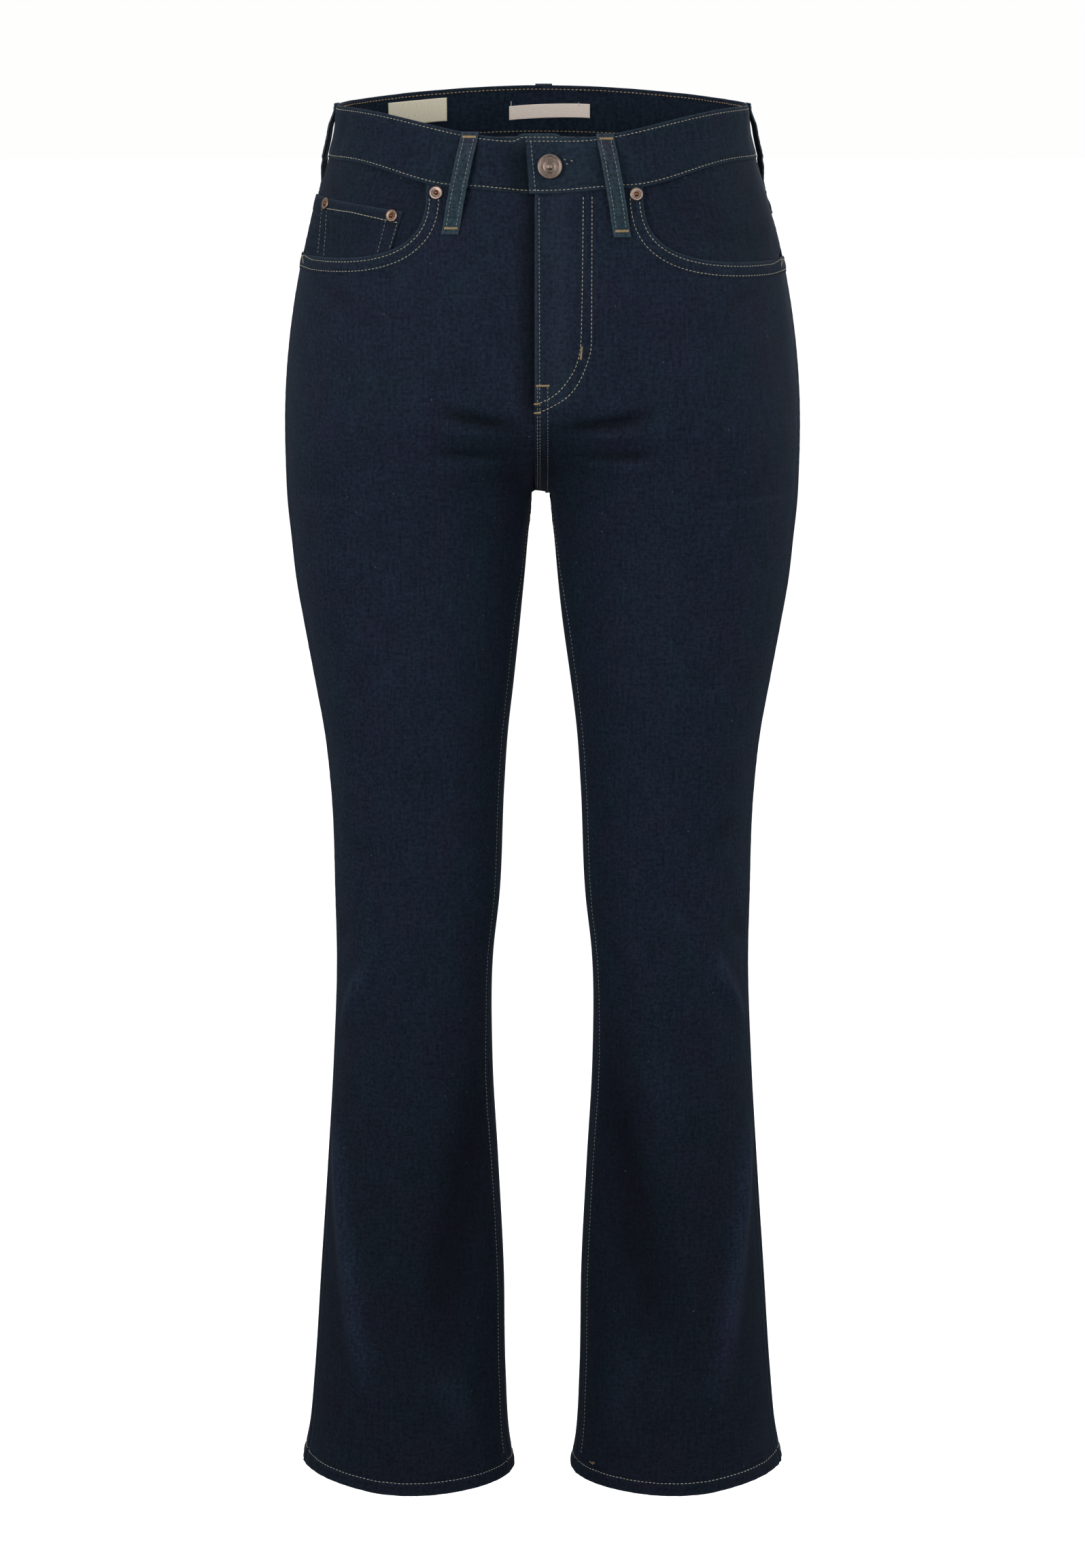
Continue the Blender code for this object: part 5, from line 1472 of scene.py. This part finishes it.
def sew_fly(left):
    edge = [(CENTRE_X + 0.003, -0.058), (CENTRE_X + 0.0034, -0.193)]
    sew_seen("thread_grey", left, edge, radius=0.00028)
    for row in FLY_ROWS:
        sew_seen("thread_cream", left, rounded(row) / 1000, radius=0.00028)
    for x, start in ((0.0019, -0.1845), (0.0036, -0.196), (0.0089, -0.1845)):
        row = [(CENTRE_X + x, start), (CENTRE_X + x, -0.2655)]
        sew_seen("thread_dull", left, row, radius=0.00024)


def lay_thread(colour, trees, start, end, radius):
    """One loose thread between two places seen from the front."""
    places, normals = cast(trees, [(start[0], 0, start[1]), (end[0], 0, end[1])])
    if len(places) == 2:
        add_stitches(colour, places[:1], places[1:], normals[:1], radius)


def sew_watch_pocket():
    watch = ["cloth_watch_pocket"]
    top = [(-0.15, -0.0684), (-0.13, -0.0698), (-0.106, -0.0742), (-0.0966, -0.076)]
    sew_seen("thread_cream", watch, top, pitch=0.0027, stitch=0.0024)
    for row in (
        ((-0.0985, -0.077), (-0.104, -0.0945)),
        ((-0.1062, -0.0745), (-0.1122, -0.0975)),
        ((-0.1515, -0.069), (-0.1545, -0.1)),
        ((-0.1478, -0.07), (-0.15, -0.101)),
    ):
        sew_seen("thread_grey", watch, row, radius=0.00022)


def sew_loop(outer, out, across, share, level):
    keep = (share > 0.065) & (share < 0.93)
    for sign in (-1, 1):
        want = sign * (1 - LOOP_STITCH / (LOOP_WIDTH / 2))
        line = np.array([pick(want, across, row) for row in outer])
        sew("thread_grey", line[keep], out[keep], stitch=0.002, radius=0.00026)
    middle = outer[:, outer.shape[1] // 2]
    for spot in (0.05, 0.94):
        centre, normal, way = (pick(spot, share, part) for part in (middle, out, level))
        bartack("thread_gold", centre, normal, way, 0.0092, 0.0016)


# Bar tacks: thread, place and direction seen from the front, length, width and piece.
TACKS = (
    ("thread_gold", (0.0262, -0.1618), (-0.1, 0, -1.0), 0.0085, 0.0013, "cloth_front_left"),
    ("thread_gold", (0.0002, -0.1838), (1, 0, 0), 0.009, 0.0014, "cloth_front_left"),
    ("thread_gold", (-0.0035, -0.2024), (1, 0, 0.1), 0.0042, 0.0014, "cloth_front_left"),
    ("thread_gold", (-0.0038, -0.1962), (1, 0, 0.1), 0.0036, 0.0012, "cloth_front_left"),
    ("thread_cream", (-0.1655, -0.1065), (-0.15, 0, 1), 0.008, 0.0012, "cloth_front_right"),
    ("thread_cream", (0.165, -0.1085), (0.15, 0, 1), 0.007, 0.0012, "cloth_front_left"),
)


def sew_back_pocket(name):
    pocket = GRIDS[name]
    from_edge, from_foot, from_top, u = pocket["rim"]
    for level in POCKET_RIM_STITCHES:
        for inner in (False, True):
            drawn = []
            for row in range(len(from_top)):
                if from_top[row].min() < 0.001 or from_foot[row].min() < level * 0.9:
                    continue
                share = level / (from_edge[row].max() * 2)
                want = 1 - share if inner else share
                drawn.append([pick(want, u, pocket[part][row]) for part in ("grid", "normals")])
            sew_drawn("thread_cream", drawn)
        wide = np.flatnonzero(from_edge.max(axis=0) >= level)
        sew_field("thread_cream", name, from_foot, level, columns=wide)
    for level in POCKET_TOP_STITCHES:
        sew_field("thread_cream", name, from_top, level, columns=range(2, len(u) - 2))


def sew_everything():
    left = ["cloth_front_left"]
    for name, side in SIDES:
        sew_panels(name, side)
    sew_band()
    sew_fly(left)
    for start, end in BUTTONHOLE_THREADS:
        lay_thread("thread_cream", ["cloth_waistband"], start, end, 0.00028)
    x, z = HEM_KNOT
    for dx, dz in ((0.0, 0.0), (0.0012, -0.0006), (0.0022, 0.0004)):
        start, end = (x + dx, z + dz), (x + 0.0015 + dx, z - 0.0008 + dz)
        lay_thread("thread_gold", left, start, end, 0.00034)
    sew_watch_pocket()
    for path in LOOP_PATHS.values():
        sew_loop(*path)
    for colour, (x, z), way, length, width, tree in TACKS:
        places, normals = cast([tree], [(x, 0.0, z)])
        bartack(colour, places[0], normals[0], way, length, width)
    for name, _ in SIDES:
        sew_back_pocket("back_pocket_" + name)
    for name, sets in STITCHES.items():
        thread_mesh(name, sets)


# ------------------------------------------------------------------ metal

BUTTON_PROFILE = (
    (0.0, 0.00475), (0.0009, 0.00471), (0.0016, 0.00448), (0.0021, 0.0041), (0.0024, 0.00382),
    (0.0029, 0.00372), (0.0033, 0.00384), (0.0037, 0.00404), (0.0041, 0.00396), (0.0045, 0.00375),
    (0.005, 0.00366), (0.006, 0.00366), (0.0068, 0.00371), (0.0072, 0.0039), (0.0076, 0.00406),
    (0.0081, 0.00402), (0.0085, 0.00376), (0.00868, 0.0033), (0.0085, 0.0025), (0.008, 0.0019),
    (0.005, 0.0015), (0.0046, 0.0006), (0.0046, 0.0), (0.0, 0.0),
)
RIVET_PROFILE = (
    (0.0, 0.0019), (0.0006, 0.00185), (0.0011, 0.0016), (0.0014, 0.0012), (0.0017, 0.00085),
    (0.0021, 0.00078), (0.0027, 0.00088), (0.0034, 0.00112), (0.0041, 0.00118), (0.0046, 0.001),
    (0.0049, 0.0007), (0.005, 0.00035), (0.005, 0.0), (0.0, 0.0),
)


# Rivets: place seen from the front, the piece they hold, metal and size.
RIVETS = (
    ("rivet_pocket_right", -0.0716, -0.0552, "cloth_front_right", "rivet_copper", 0.94),
    ("rivet_pocket_left", 0.063, -0.056, "cloth_front_left", "rivet_copper", 0.93),
    ("rivet_watch_inner", -0.1019, -0.0712, "cloth_watch_pocket", "rivet_brown", 0.88),
    ("rivet_watch_outer", -0.1485, -0.0655, "cloth_watch_pocket", "rivet_brown", 0.86),
)
TURNED_STEPS = 64


def make_turned(name, profile, x, z, tree, material, node, size, boss):
    """A turned piece of metal, standing along its normal. Within boss of the axis its colour differs."""
    places, normals = cast([tree], [(x, 0.0, z)])
    place = places[0] + normals[0] * 0.0002
    profile = [(radius * size, height) for radius, height in profile]
    steps = TURNED_STEPS
    turns = 2 * math.pi * np.arange(steps) / steps
    inner = [row for row in profile if row[0] > 0]
    points = [(0.0, 0.0, profile[0][1])]
    for radius, height in inner:
        points += [(radius * math.cos(a), radius * math.sin(a), height) for a in turns]
    points.append((0.0, 0.0, profile[-1][1]))
    faces = [[0, 1 + k, 1 + (k + 1) % steps] for k in range(steps)]
    for ring in range(len(inner) - 1):
        for k in range(steps):
            a, b = 1 + ring * steps + k, 1 + ring * steps + (k + 1) % steps
            faces.append([a, a + steps, b + steps, b])
    last = 1 + (len(inner) - 1) * steps
    faces += [[len(points) - 1, last + (k + 1) % steps, last + k] for k in range(steps)]
    turn = Vector((0, 0, 1)).rotation_difference(Vector(normals[0])).to_matrix()
    inside = [float(math.hypot(p[0], p[1]) < boss * size) for p in points]
    points = np.array(points) @ np.array(turn).T + place
    made = put(name, points, faces, material, wear=inside)
    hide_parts(node)


def make_metal():
    button = ("metal_button", BUTTON_PROFILE, 0.0046, -0.0375, "cloth_waistband", "button_metal")
    make_turned(*button, "button", 0.97, 0.0023)
    for name, x, z, tree, tone, size in RIVETS:
        make_turned("metal_" + name, RIVET_PROFILE, x, z, tree, tone, name, size, 0.0021)


# ------------------------------------------------------------------ labels


# Labels inside the back of the band: both ends in x, the top edge there, height and arch.
LABELS = (
    ("name", "material", "left", "right", "top_left", "top_right", "height", "arch"),
    ("woven_label", "cream_label", -0.1105, -0.069, -0.0007, 0.0025, 0.0165, 0.0),
    ("size_label", "white_label", -0.024, 0.0342, -0.004, -0.0024, 0.0098, 0.0009),
)
LABEL_WALL = 0.0007
LABEL_RISE = BAND_RISE - BAND_WALL - 0.0004
# White threads that tack the lower label: x, and z at both ends.
LABEL_TACKS = ((-0.0226, -0.0004, -0.0048), (0.0262, -0.0012, -0.004))


def make_label(name, material, left, right, top_left, top_right, height, arch):
    t = np.linspace(0.0, 1.0, 60)
    down = np.linspace(0.0, 1.0, 18)[:, None]
    x = left + (right - left) * t
    top = top_left + (top_right - top_left) * t + arch * 4 * t * (1 - t)
    z = top - height * down
    angle = -waist_angle(x, z)
    curl = 0.0005 * np.abs(2 * t - 1) ** 6 + 0.00025 * wobble(t, left * 90, 0.7)
    lift = LABEL_RISE - curl
    outer, _ = waist_skin(angle, z, lift)
    inner, _ = waist_skin(angle, z, lift - LABEL_WALL)
    uv = np.stack([np.broadcast_to(x, z.shape), z], axis=-1)
    made = cloth("cloth_" + name, outer, inner, uv, material, -1)
    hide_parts(name)
    return made


def tack_label(x, z_from, z_to):
    """One white thread that tacks a label to the band."""
    z = np.array([z_from, z_to])
    points, normals = waist_skin(-waist_angle(np.array([x, x]), z), z, LABEL_RISE)
    add_stitches("thread_white", points[:1], points[1:], -normals[:1], 0.00022, 0.0008)


# ------------------------------------------------------------------ materials


class Nodes:
    """A short way to wire a material's nodes."""

    def __init__(self, name):
        material = bpy.data.materials.new(name)
        material.use_nodes = True
        self.tree = material.node_tree
        self.shader = self.tree.nodes["Principled BSDF"]
        MATERIALS[name] = material

    def feed(self, node, values):
        """Sets a node's inputs, or links them where the value is another node's output."""
        for key, value in values.items():
            if isinstance(value, bpy.types.NodeSocket):
                self.tree.links.new(value, node.inputs[key])
            else:
                node.inputs[key].default_value = value

    def shade(self, values):
        self.feed(self.shader, values)

    def new(self, kind, values, **settings):
        node = self.tree.nodes.new("ShaderNode" + kind)
        for key, value in settings.items():
            setattr(node, key, value)
        self.feed(node, values)
        return node.outputs

    def mapped(self, scale, kind="UV", turn=0.0):
        place = self.new("UVMap", {}, uv_map="UVMap") if kind == "UV" else self.new("TexCoord", {})
        values = {"Vector": place[kind], "Scale": scale, "Rotation": (0.0, 0.0, turn)}
        return self.new("Mapping", values)["Vector"]

    def noise(self, scale, detail, rough, kind="UV"):
        values = {"Vector": self.mapped(scale, kind), "Scale": 1.0, "Detail": detail, "Roughness": rough}
        return self.new("TexNoise", values)["Fac"]

    def attribute(self, name):
        return self.new("Attribute", {}, attribute_name=name)["Fac"]

    def ramp(self, value, low, high, start=0.0, end=1.0):
        values = {"Value": value, "From Min": low, "From Max": high, "To Min": start, "To Max": end}
        return self.new("MapRange", values)["Result"]

    def maths(self, operation, first, second):
        return self.new("Math", {0: first, 1: second}, operation=operation)["Value"]

    def weighted(self, *terms):
        """The sum of some values, each times its weight."""
        total = None
        for value, weight in terms:
            part = self.maths("MULTIPLY", value, weight)
            total = part if total is None else self.maths("ADD", total, part)
        return total

    def mix(self, factor, first, second, blend="MIX"):
        first, second = ((*v, 1.0) if isinstance(v, tuple) else v for v in (first, second))
        values = {"Factor": factor, "A": first, "B": second}
        return self.new("Mix", values, data_type="RGBA", blend_type=blend)["Result"]

    def bump(self, height, distance, strength, **under):
        values = {"Height": height, "Distance": distance, "Strength": strength, **under}
        return self.new("Bump", values)["Normal"]


def denim(name, dark, light, worn, sheen, weft=1.0):
    """Twill: fine slanted ribs, uneven warp threads down the cloth, slubs, and pale edges where folded."""
    n = Nodes(name)
    warp = n.noise((1250, 95, 1), 2, 0.6)
    streak = n.noise((420, 40, 1), 3, 0.6)
    cross = n.noise((70, 900, 1), 2, 0.6)
    grain = n.noise((430, 400, 1), 3, 0.7)
    cloudy = n.noise((26, 19, 1), 5, 0.62)
    patchy = n.noise((47, 38, 1), 3, 0.55)
    waves = {"Vector": n.mapped((200, 150, 1), turn=0.95), "Scale": 1.0, "Distortion": 1.6}
    waves |= {"Detail": 1.0, "Detail Scale": 0.8}
    kinds = {"wave_type": "BANDS", "bands_direction": "X", "wave_profile": "SIN"}
    ribs = n.new("TexWave", waves, **kinds)["Fac"]
    mixed = n.weighted((warp, 0.18), (streak, 0.15), (cross, 0.15 * weft), (grain, 0.54))
    shift = 0.08 * (weft - 1)
    colour = n.mix(n.ramp(mixed, 0.425 + shift, 0.595 + shift), dark, light)
    hue = n.mix(n.ramp(cloudy, 0.34, 0.68), (1.13, 0.9, 1.05), (0.82, 1.12, 1.06))
    patches = n.mix(n.ramp(patchy, 0.32, 0.7), (0.9, 0.9, 0.91), (1.1, 1.1, 1.09))
    # Painted light and shade, read from the fade attribute: darker in fold troughs, towards the hem, beside
    # the fly and the lap, and lighter on fold crests, partly painted highlight and partly wash fade.
    level = n.ramp(n.attribute("fade"), -0.6, 0.6, 0.4, 1.6)
    painted_shade_and_fade_tint = n.new("CombineXYZ", {0: level, 1: level, 2: level})["Vector"]
    for tint in (hue, patches, painted_shade_and_fade_tint):
        colour = n.mix(1.0, colour, tint, "MULTIPLY")
    rubbed = n.maths("MULTIPLY", n.attribute("wear"), n.ramp(grain, 0.3, 0.62, 0.45, 1.25))
    colour = n.mix(n.ramp(rubbed, 0.0, 1.2, 0.0, 0.85), colour, worn)
    cells = n.new("TexVoronoi", {"Vector": n.mapped((150, 120, 1)), "Scale": 1.0}, feature="F1")
    chance = n.new("SeparateColor", {"Color": cells["Color"]})["Red"]
    small = n.maths("LESS_THAN", cells["Distance"], 0.075)
    speck = n.maths("MULTIPLY", small, n.maths("GREATER_THAN", chance, 0.93))
    colour = n.mix(n.maths("MULTIPLY", speck, 0.4), colour, (0.12, 0.13, 0.14))
    low = n.weighted((warp, 0.6), (grain, 0.5), (ribs, 0.12))
    soft = n.bump(n.noise((55, 40, 1), 4, 0.55), 0.0011, 0.5)
    n.shade({"Base Color": colour, "Roughness": n.ramp(grain, 0.2, 0.8, 0.74, 0.92)})
    n.shade({"Normal": n.bump(low, 0.00022, 0.8, Normal=soft), "Specular IOR Level": 0.1})
    n.shade({"Sheen Weight": sheen, "Sheen Roughness": 0.5, "Sheen Tint": (0.55, 0.72, 0.95, 1.0)})


def thread(name, colour, dark):
    n = Nodes(name)
    twist = n.noise((2600, 2600, 2600), 2, 0.6, "Object")
    uneven = n.noise((240, 240, 240), 2, 0.6, "Object")
    tone = n.weighted((twist, 0.55), (uneven, 0.45))
    n.shade({"Base Color": n.mix(n.ramp(tone, 0.36, 0.62), dark, colour), "Specular IOR Level": 0.35})
    n.shade({"Roughness": n.ramp(twist, 0.3, 0.7, 0.5, 0.75), "Normal": n.bump(twist, 0.00012, 0.6)})


def metal(name, colour, deep, rough, boss):
    n = Nodes(name)
    cloudy = n.noise((420, 420, 420), 4, 0.6, "Object")
    fine = n.noise((3400, 3400, 3400), 2, 0.6, "Object")
    hollow = n.ramp(n.new("NewGeometry", {})["Pointiness"], 0.46, 0.54)
    tone = n.weighted((n.ramp(cloudy, 0.35, 0.65), 0.45), (hollow, 0.55))
    middle = n.mix(tone, tuple(v * 0.5 for v in boss), boss)
    n.shade({"Base Color": n.mix(n.attribute("wear"), n.mix(tone, deep, colour), middle)})
    n.shade({"Roughness": n.ramp(cloudy, 0.3, 0.7, rough - 0.08, rough + 0.12)})
    n.shade({"Normal": n.bump(fine, 0.00003, 0.4), "Metallic": 1.0})


def ribbon(name, colour, dark, across, rough):
    n = Nodes(name)
    fleck = n.noise((2400, 2400, 1), 2, 0.7)
    tone = n.weighted((n.noise(across, 2, 0.6), 0.6), (fleck, 0.4))
    n.shade({"Base Color": n.mix(n.ramp(tone, 0.35, 0.62), dark, colour), "Sheen Weight": 0.1})
    n.shade({"Roughness": n.ramp(fleck, 0.3, 0.7, rough - 0.06, rough + 0.06)})
    n.shade({"Normal": n.bump(tone, 0.00012, 0.7)})


# What each material is made from: its function, then that function's colours and strengths.
LOOKS = (
    (denim, "denim", (0.0036, 0.0062, 0.0118), (0.012, 0.0186, 0.0335), (0.032, 0.05, 0.07), 0.04),
    (denim, "denim_reverse", (0.03, 0.036, 0.046), (0.085, 0.098, 0.115), (0.11, 0.12, 0.13), 0.05, 1.4),
    (denim, "denim_facing", (0.0034, 0.0058, 0.0108), (0.0108, 0.0168, 0.0295), (0.032, 0.05, 0.068), 0.035),
    (denim, "denim_band", (0.0034, 0.0066, 0.0122), (0.0112, 0.0195, 0.033), (0.032, 0.052, 0.07), 0.04),
    (denim, "denim_loop", (0.0118, 0.0185, 0.0262), (0.031, 0.0465, 0.061), (0.054, 0.08, 0.098), 0.06, 1.6),
    (thread, "thread_cream", (0.45, 0.42, 0.31), (0.22, 0.2, 0.145)),
    (thread, "thread_pale", (0.52, 0.52, 0.44), (0.28, 0.28, 0.235)),
    (thread, "thread_dull", (0.26, 0.25, 0.2), (0.12, 0.115, 0.09)),
    (thread, "thread_gold", (0.4, 0.285, 0.15), (0.2, 0.14, 0.07)),
    (thread, "thread_grey", (0.25, 0.27, 0.24), (0.1, 0.12, 0.115)),
    (thread, "thread_white", (0.75, 0.74, 0.7), (0.5, 0.49, 0.46)),
    (metal, "button_metal", (0.26, 0.2, 0.17), (0.14, 0.105, 0.088), 0.44, (0.29, 0.23, 0.195)),
    (metal, "rivet_copper", (0.32, 0.24, 0.205), (0.13, 0.09, 0.07), 0.38, (0.21, 0.09, 0.055)),
    (metal, "rivet_brown", (0.27, 0.185, 0.14), (0.11, 0.07, 0.05), 0.4, (0.17, 0.075, 0.045)),
    (metal, "zip_metal", (0.36, 0.29, 0.2), (0.16, 0.12, 0.08), 0.38, (0.36, 0.29, 0.2)),
    (ribbon, "cream_label", (0.9, 0.82, 0.64), (0.58, 0.53, 0.4), (900, 2400, 1), 0.78),
    (ribbon, "white_label", (0.9, 0.78, 0.69), (0.72, 0.6, 0.51), (260, 2600, 1), 0.6),
    (ribbon, "zip_tape", (0.02, 0.026, 0.04), (0.008, 0.011, 0.019), (1800, 420, 1), 0.8),
)


# ------------------------------------------------------------------ floor, light and camera


FLOOR_REACH, FLOOR_Z = 29.0, -1.45
BACKDROP_RADIUS = 30.0
SKY = ((0.0, 0.06), (0.42, 0.12), (0.52, 0.24), (0.72, 0.49), (1.0, 0.68))
COOL = (0.97, 0.985, 1.0)
RIM = (0.93, 0.97, 1.0)
# Area lamps: place, what they aim at, size, power and colour.
LAMPS = (
    ("key", (-0.9, -1.45, 0.1), (0, 0, -0.25), 0.8, 17.0, COOL),
    ("fill", (1.3, -1.6, 0.05), (0, 0, -0.3), 1.1, 14.0, COOL),
    ("rim_left", (-2.0, 0.55, 0.3), (-0.15, 0, -0.45), 1.5, 6.0, RIM),
    ("rim_right", (2.0, 0.55, 0.3), (0.15, 0, -0.45), 1.5, 13.0, RIM),
    ("back", (0.5, 2.6, 0.5), (0, 0, -0.4), 1.6, 24.0, (0.98, 0.99, 1.0)),
)
CAMERA_PLACE = (0.0, -3.0, 0.109)
CAMERA_PITCH = 11.1
LENS = 98.27


def glowing(name, colour, glow):
    n = Nodes(name)
    tone = n.noise((0.6, 0.6, 0.6), 2, 0.5, "Object")
    n.shade({"Base Color": n.mix(tone, tuple(v * 0.995 for v in colour), colour), "Roughness": 0.9})
    n.shade({"Emission Color": (1.0, 1.0, 0.995, 1.0), "Emission Strength": glow})
    n.shade({"Specular IOR Level": 0.0})


def backdrop(name, mesh, material):
    """Something seen behind the garment that throws no light or shade on it."""
    mesh.materials.append(MATERIALS[material])
    made = add_to_scene(name, mesh)
    for ray in ("diffuse", "glossy", "shadow", "transmission"):
        setattr(made, "visible_" + ray, False)
    return made


def make_world():
    world = bpy.data.worlds.new("studio")
    world.use_nodes = True
    nodes, link = world.node_tree.nodes, world.node_tree.links.new
    place = nodes.new("ShaderNodeTexCoord")
    split = nodes.new("ShaderNodeSeparateXYZ")
    height = nodes.new("ShaderNodeMapRange")
    height.inputs["From Min"].default_value = -1.0
    ramp = nodes.new("ShaderNodeValToRGB")
    ramp.color_ramp.interpolation = "EASE"
    while len(ramp.color_ramp.elements) < len(SKY):
        ramp.color_ramp.elements.new(0.5)
    for element, (at, value) in zip(ramp.color_ramp.elements, SKY):
        element.position = at
        element.color = (value, value, value, 1.0)
    link(place.outputs["Generated"], split.inputs["Vector"])
    link(split.outputs["Z"], height.inputs["Value"])
    link(height.outputs["Result"], ramp.inputs["Fac"])
    link(ramp.outputs["Color"], nodes["Background"].inputs["Color"])
    nodes["Background"].inputs["Strength"].default_value = 1.0
    bpy.context.scene.world = world


def make_stage():
    glowing("floor_white", (0.78, 0.78, 0.78), 0.72)
    glowing("backdrop_white", (0.0, 0.0, 0.0), 0.99)
    floor = bpy.data.meshes.new("floor")
    corners = [(x * FLOOR_REACH, y * FLOOR_REACH, FLOOR_Z) for x, y in ((-1, -1), (1, -1), (1, 1), (-1, 1))]
    floor.from_pydata(corners, [], [[0, 1, 2, 3]])
    round_wall = bpy.data.meshes.new("backdrop")
    shape = bmesh.new()
    bmesh.ops.create_uvsphere(shape, u_segments=48, v_segments=24, radius=BACKDROP_RADIUS)
    shape.to_mesh(round_wall)
    shape.free()
    backdrop("floor", floor, "floor_white")
    backdrop("backdrop", round_wall, "backdrop_white")
    make_world()
    for name, place, aim, size, energy, colour in LAMPS:
        light = bpy.data.lights.new(name, "AREA")
        light.energy, light.size, light.color = energy, size, colour
        lamp = add_to_scene(name, light)
        lamp.location = place
        lamp.rotation_euler = (Vector(aim) - Vector(place)).to_track_quat("-Z", "Y").to_euler()
        lamp.visible_camera = False
    camera = add_to_scene("camera", bpy.data.cameras.new("camera"))
    camera.data.lens = LENS
    camera.data.sensor_width = 36.0
    camera.data.sensor_fit = "AUTO"
    camera.data.clip_end = 300.0
    camera.location = CAMERA_PLACE
    camera.rotation_euler = (math.radians(90.0 - CAMERA_PITCH), 0.0, 0.0)
    scene = bpy.context.scene
    scene.camera = camera
    scene.view_settings.view_transform = "Standard"
    scene.view_settings.look = "None"


# ------------------------------------------------------------------ the whole garment


def make_pieces():
    """Builds everything, and returns the sheets of cloth by name."""
    for make, *look in LOOKS:
        make(*look)
    make_stage()
    pieces = {}
    for name, side in SIDES:
        pieces["front_" + name] = make_front(name, side)
        pieces["back_" + name] = make_back(name, side)
        pieces["yoke_" + name] = make_yoke(name, side)
        pieces["facing_" + name] = make_facing(name, side)
        pieces["back_pocket_" + name] = make_back_pocket(name, side)
    pieces["watch"] = make_watch_pocket()
    pieces["band"] = make_waistband()
    for loop in rows_of(LOOPS):
        pieces[loop["name"]] = make_belt_loop(loop)
    pieces["shield"], pieces["tape"] = make_fly()
    make_metal()
    for label in rows_of(LABELS):
        pieces[label["name"]] = make_label(**label)
    for tack in LABEL_TACKS:
        tack_label(*tack)
    sew_everything()
    make_zip()
    return pieces


pieces = make_pieces()

bpy.context.view_layer.update()
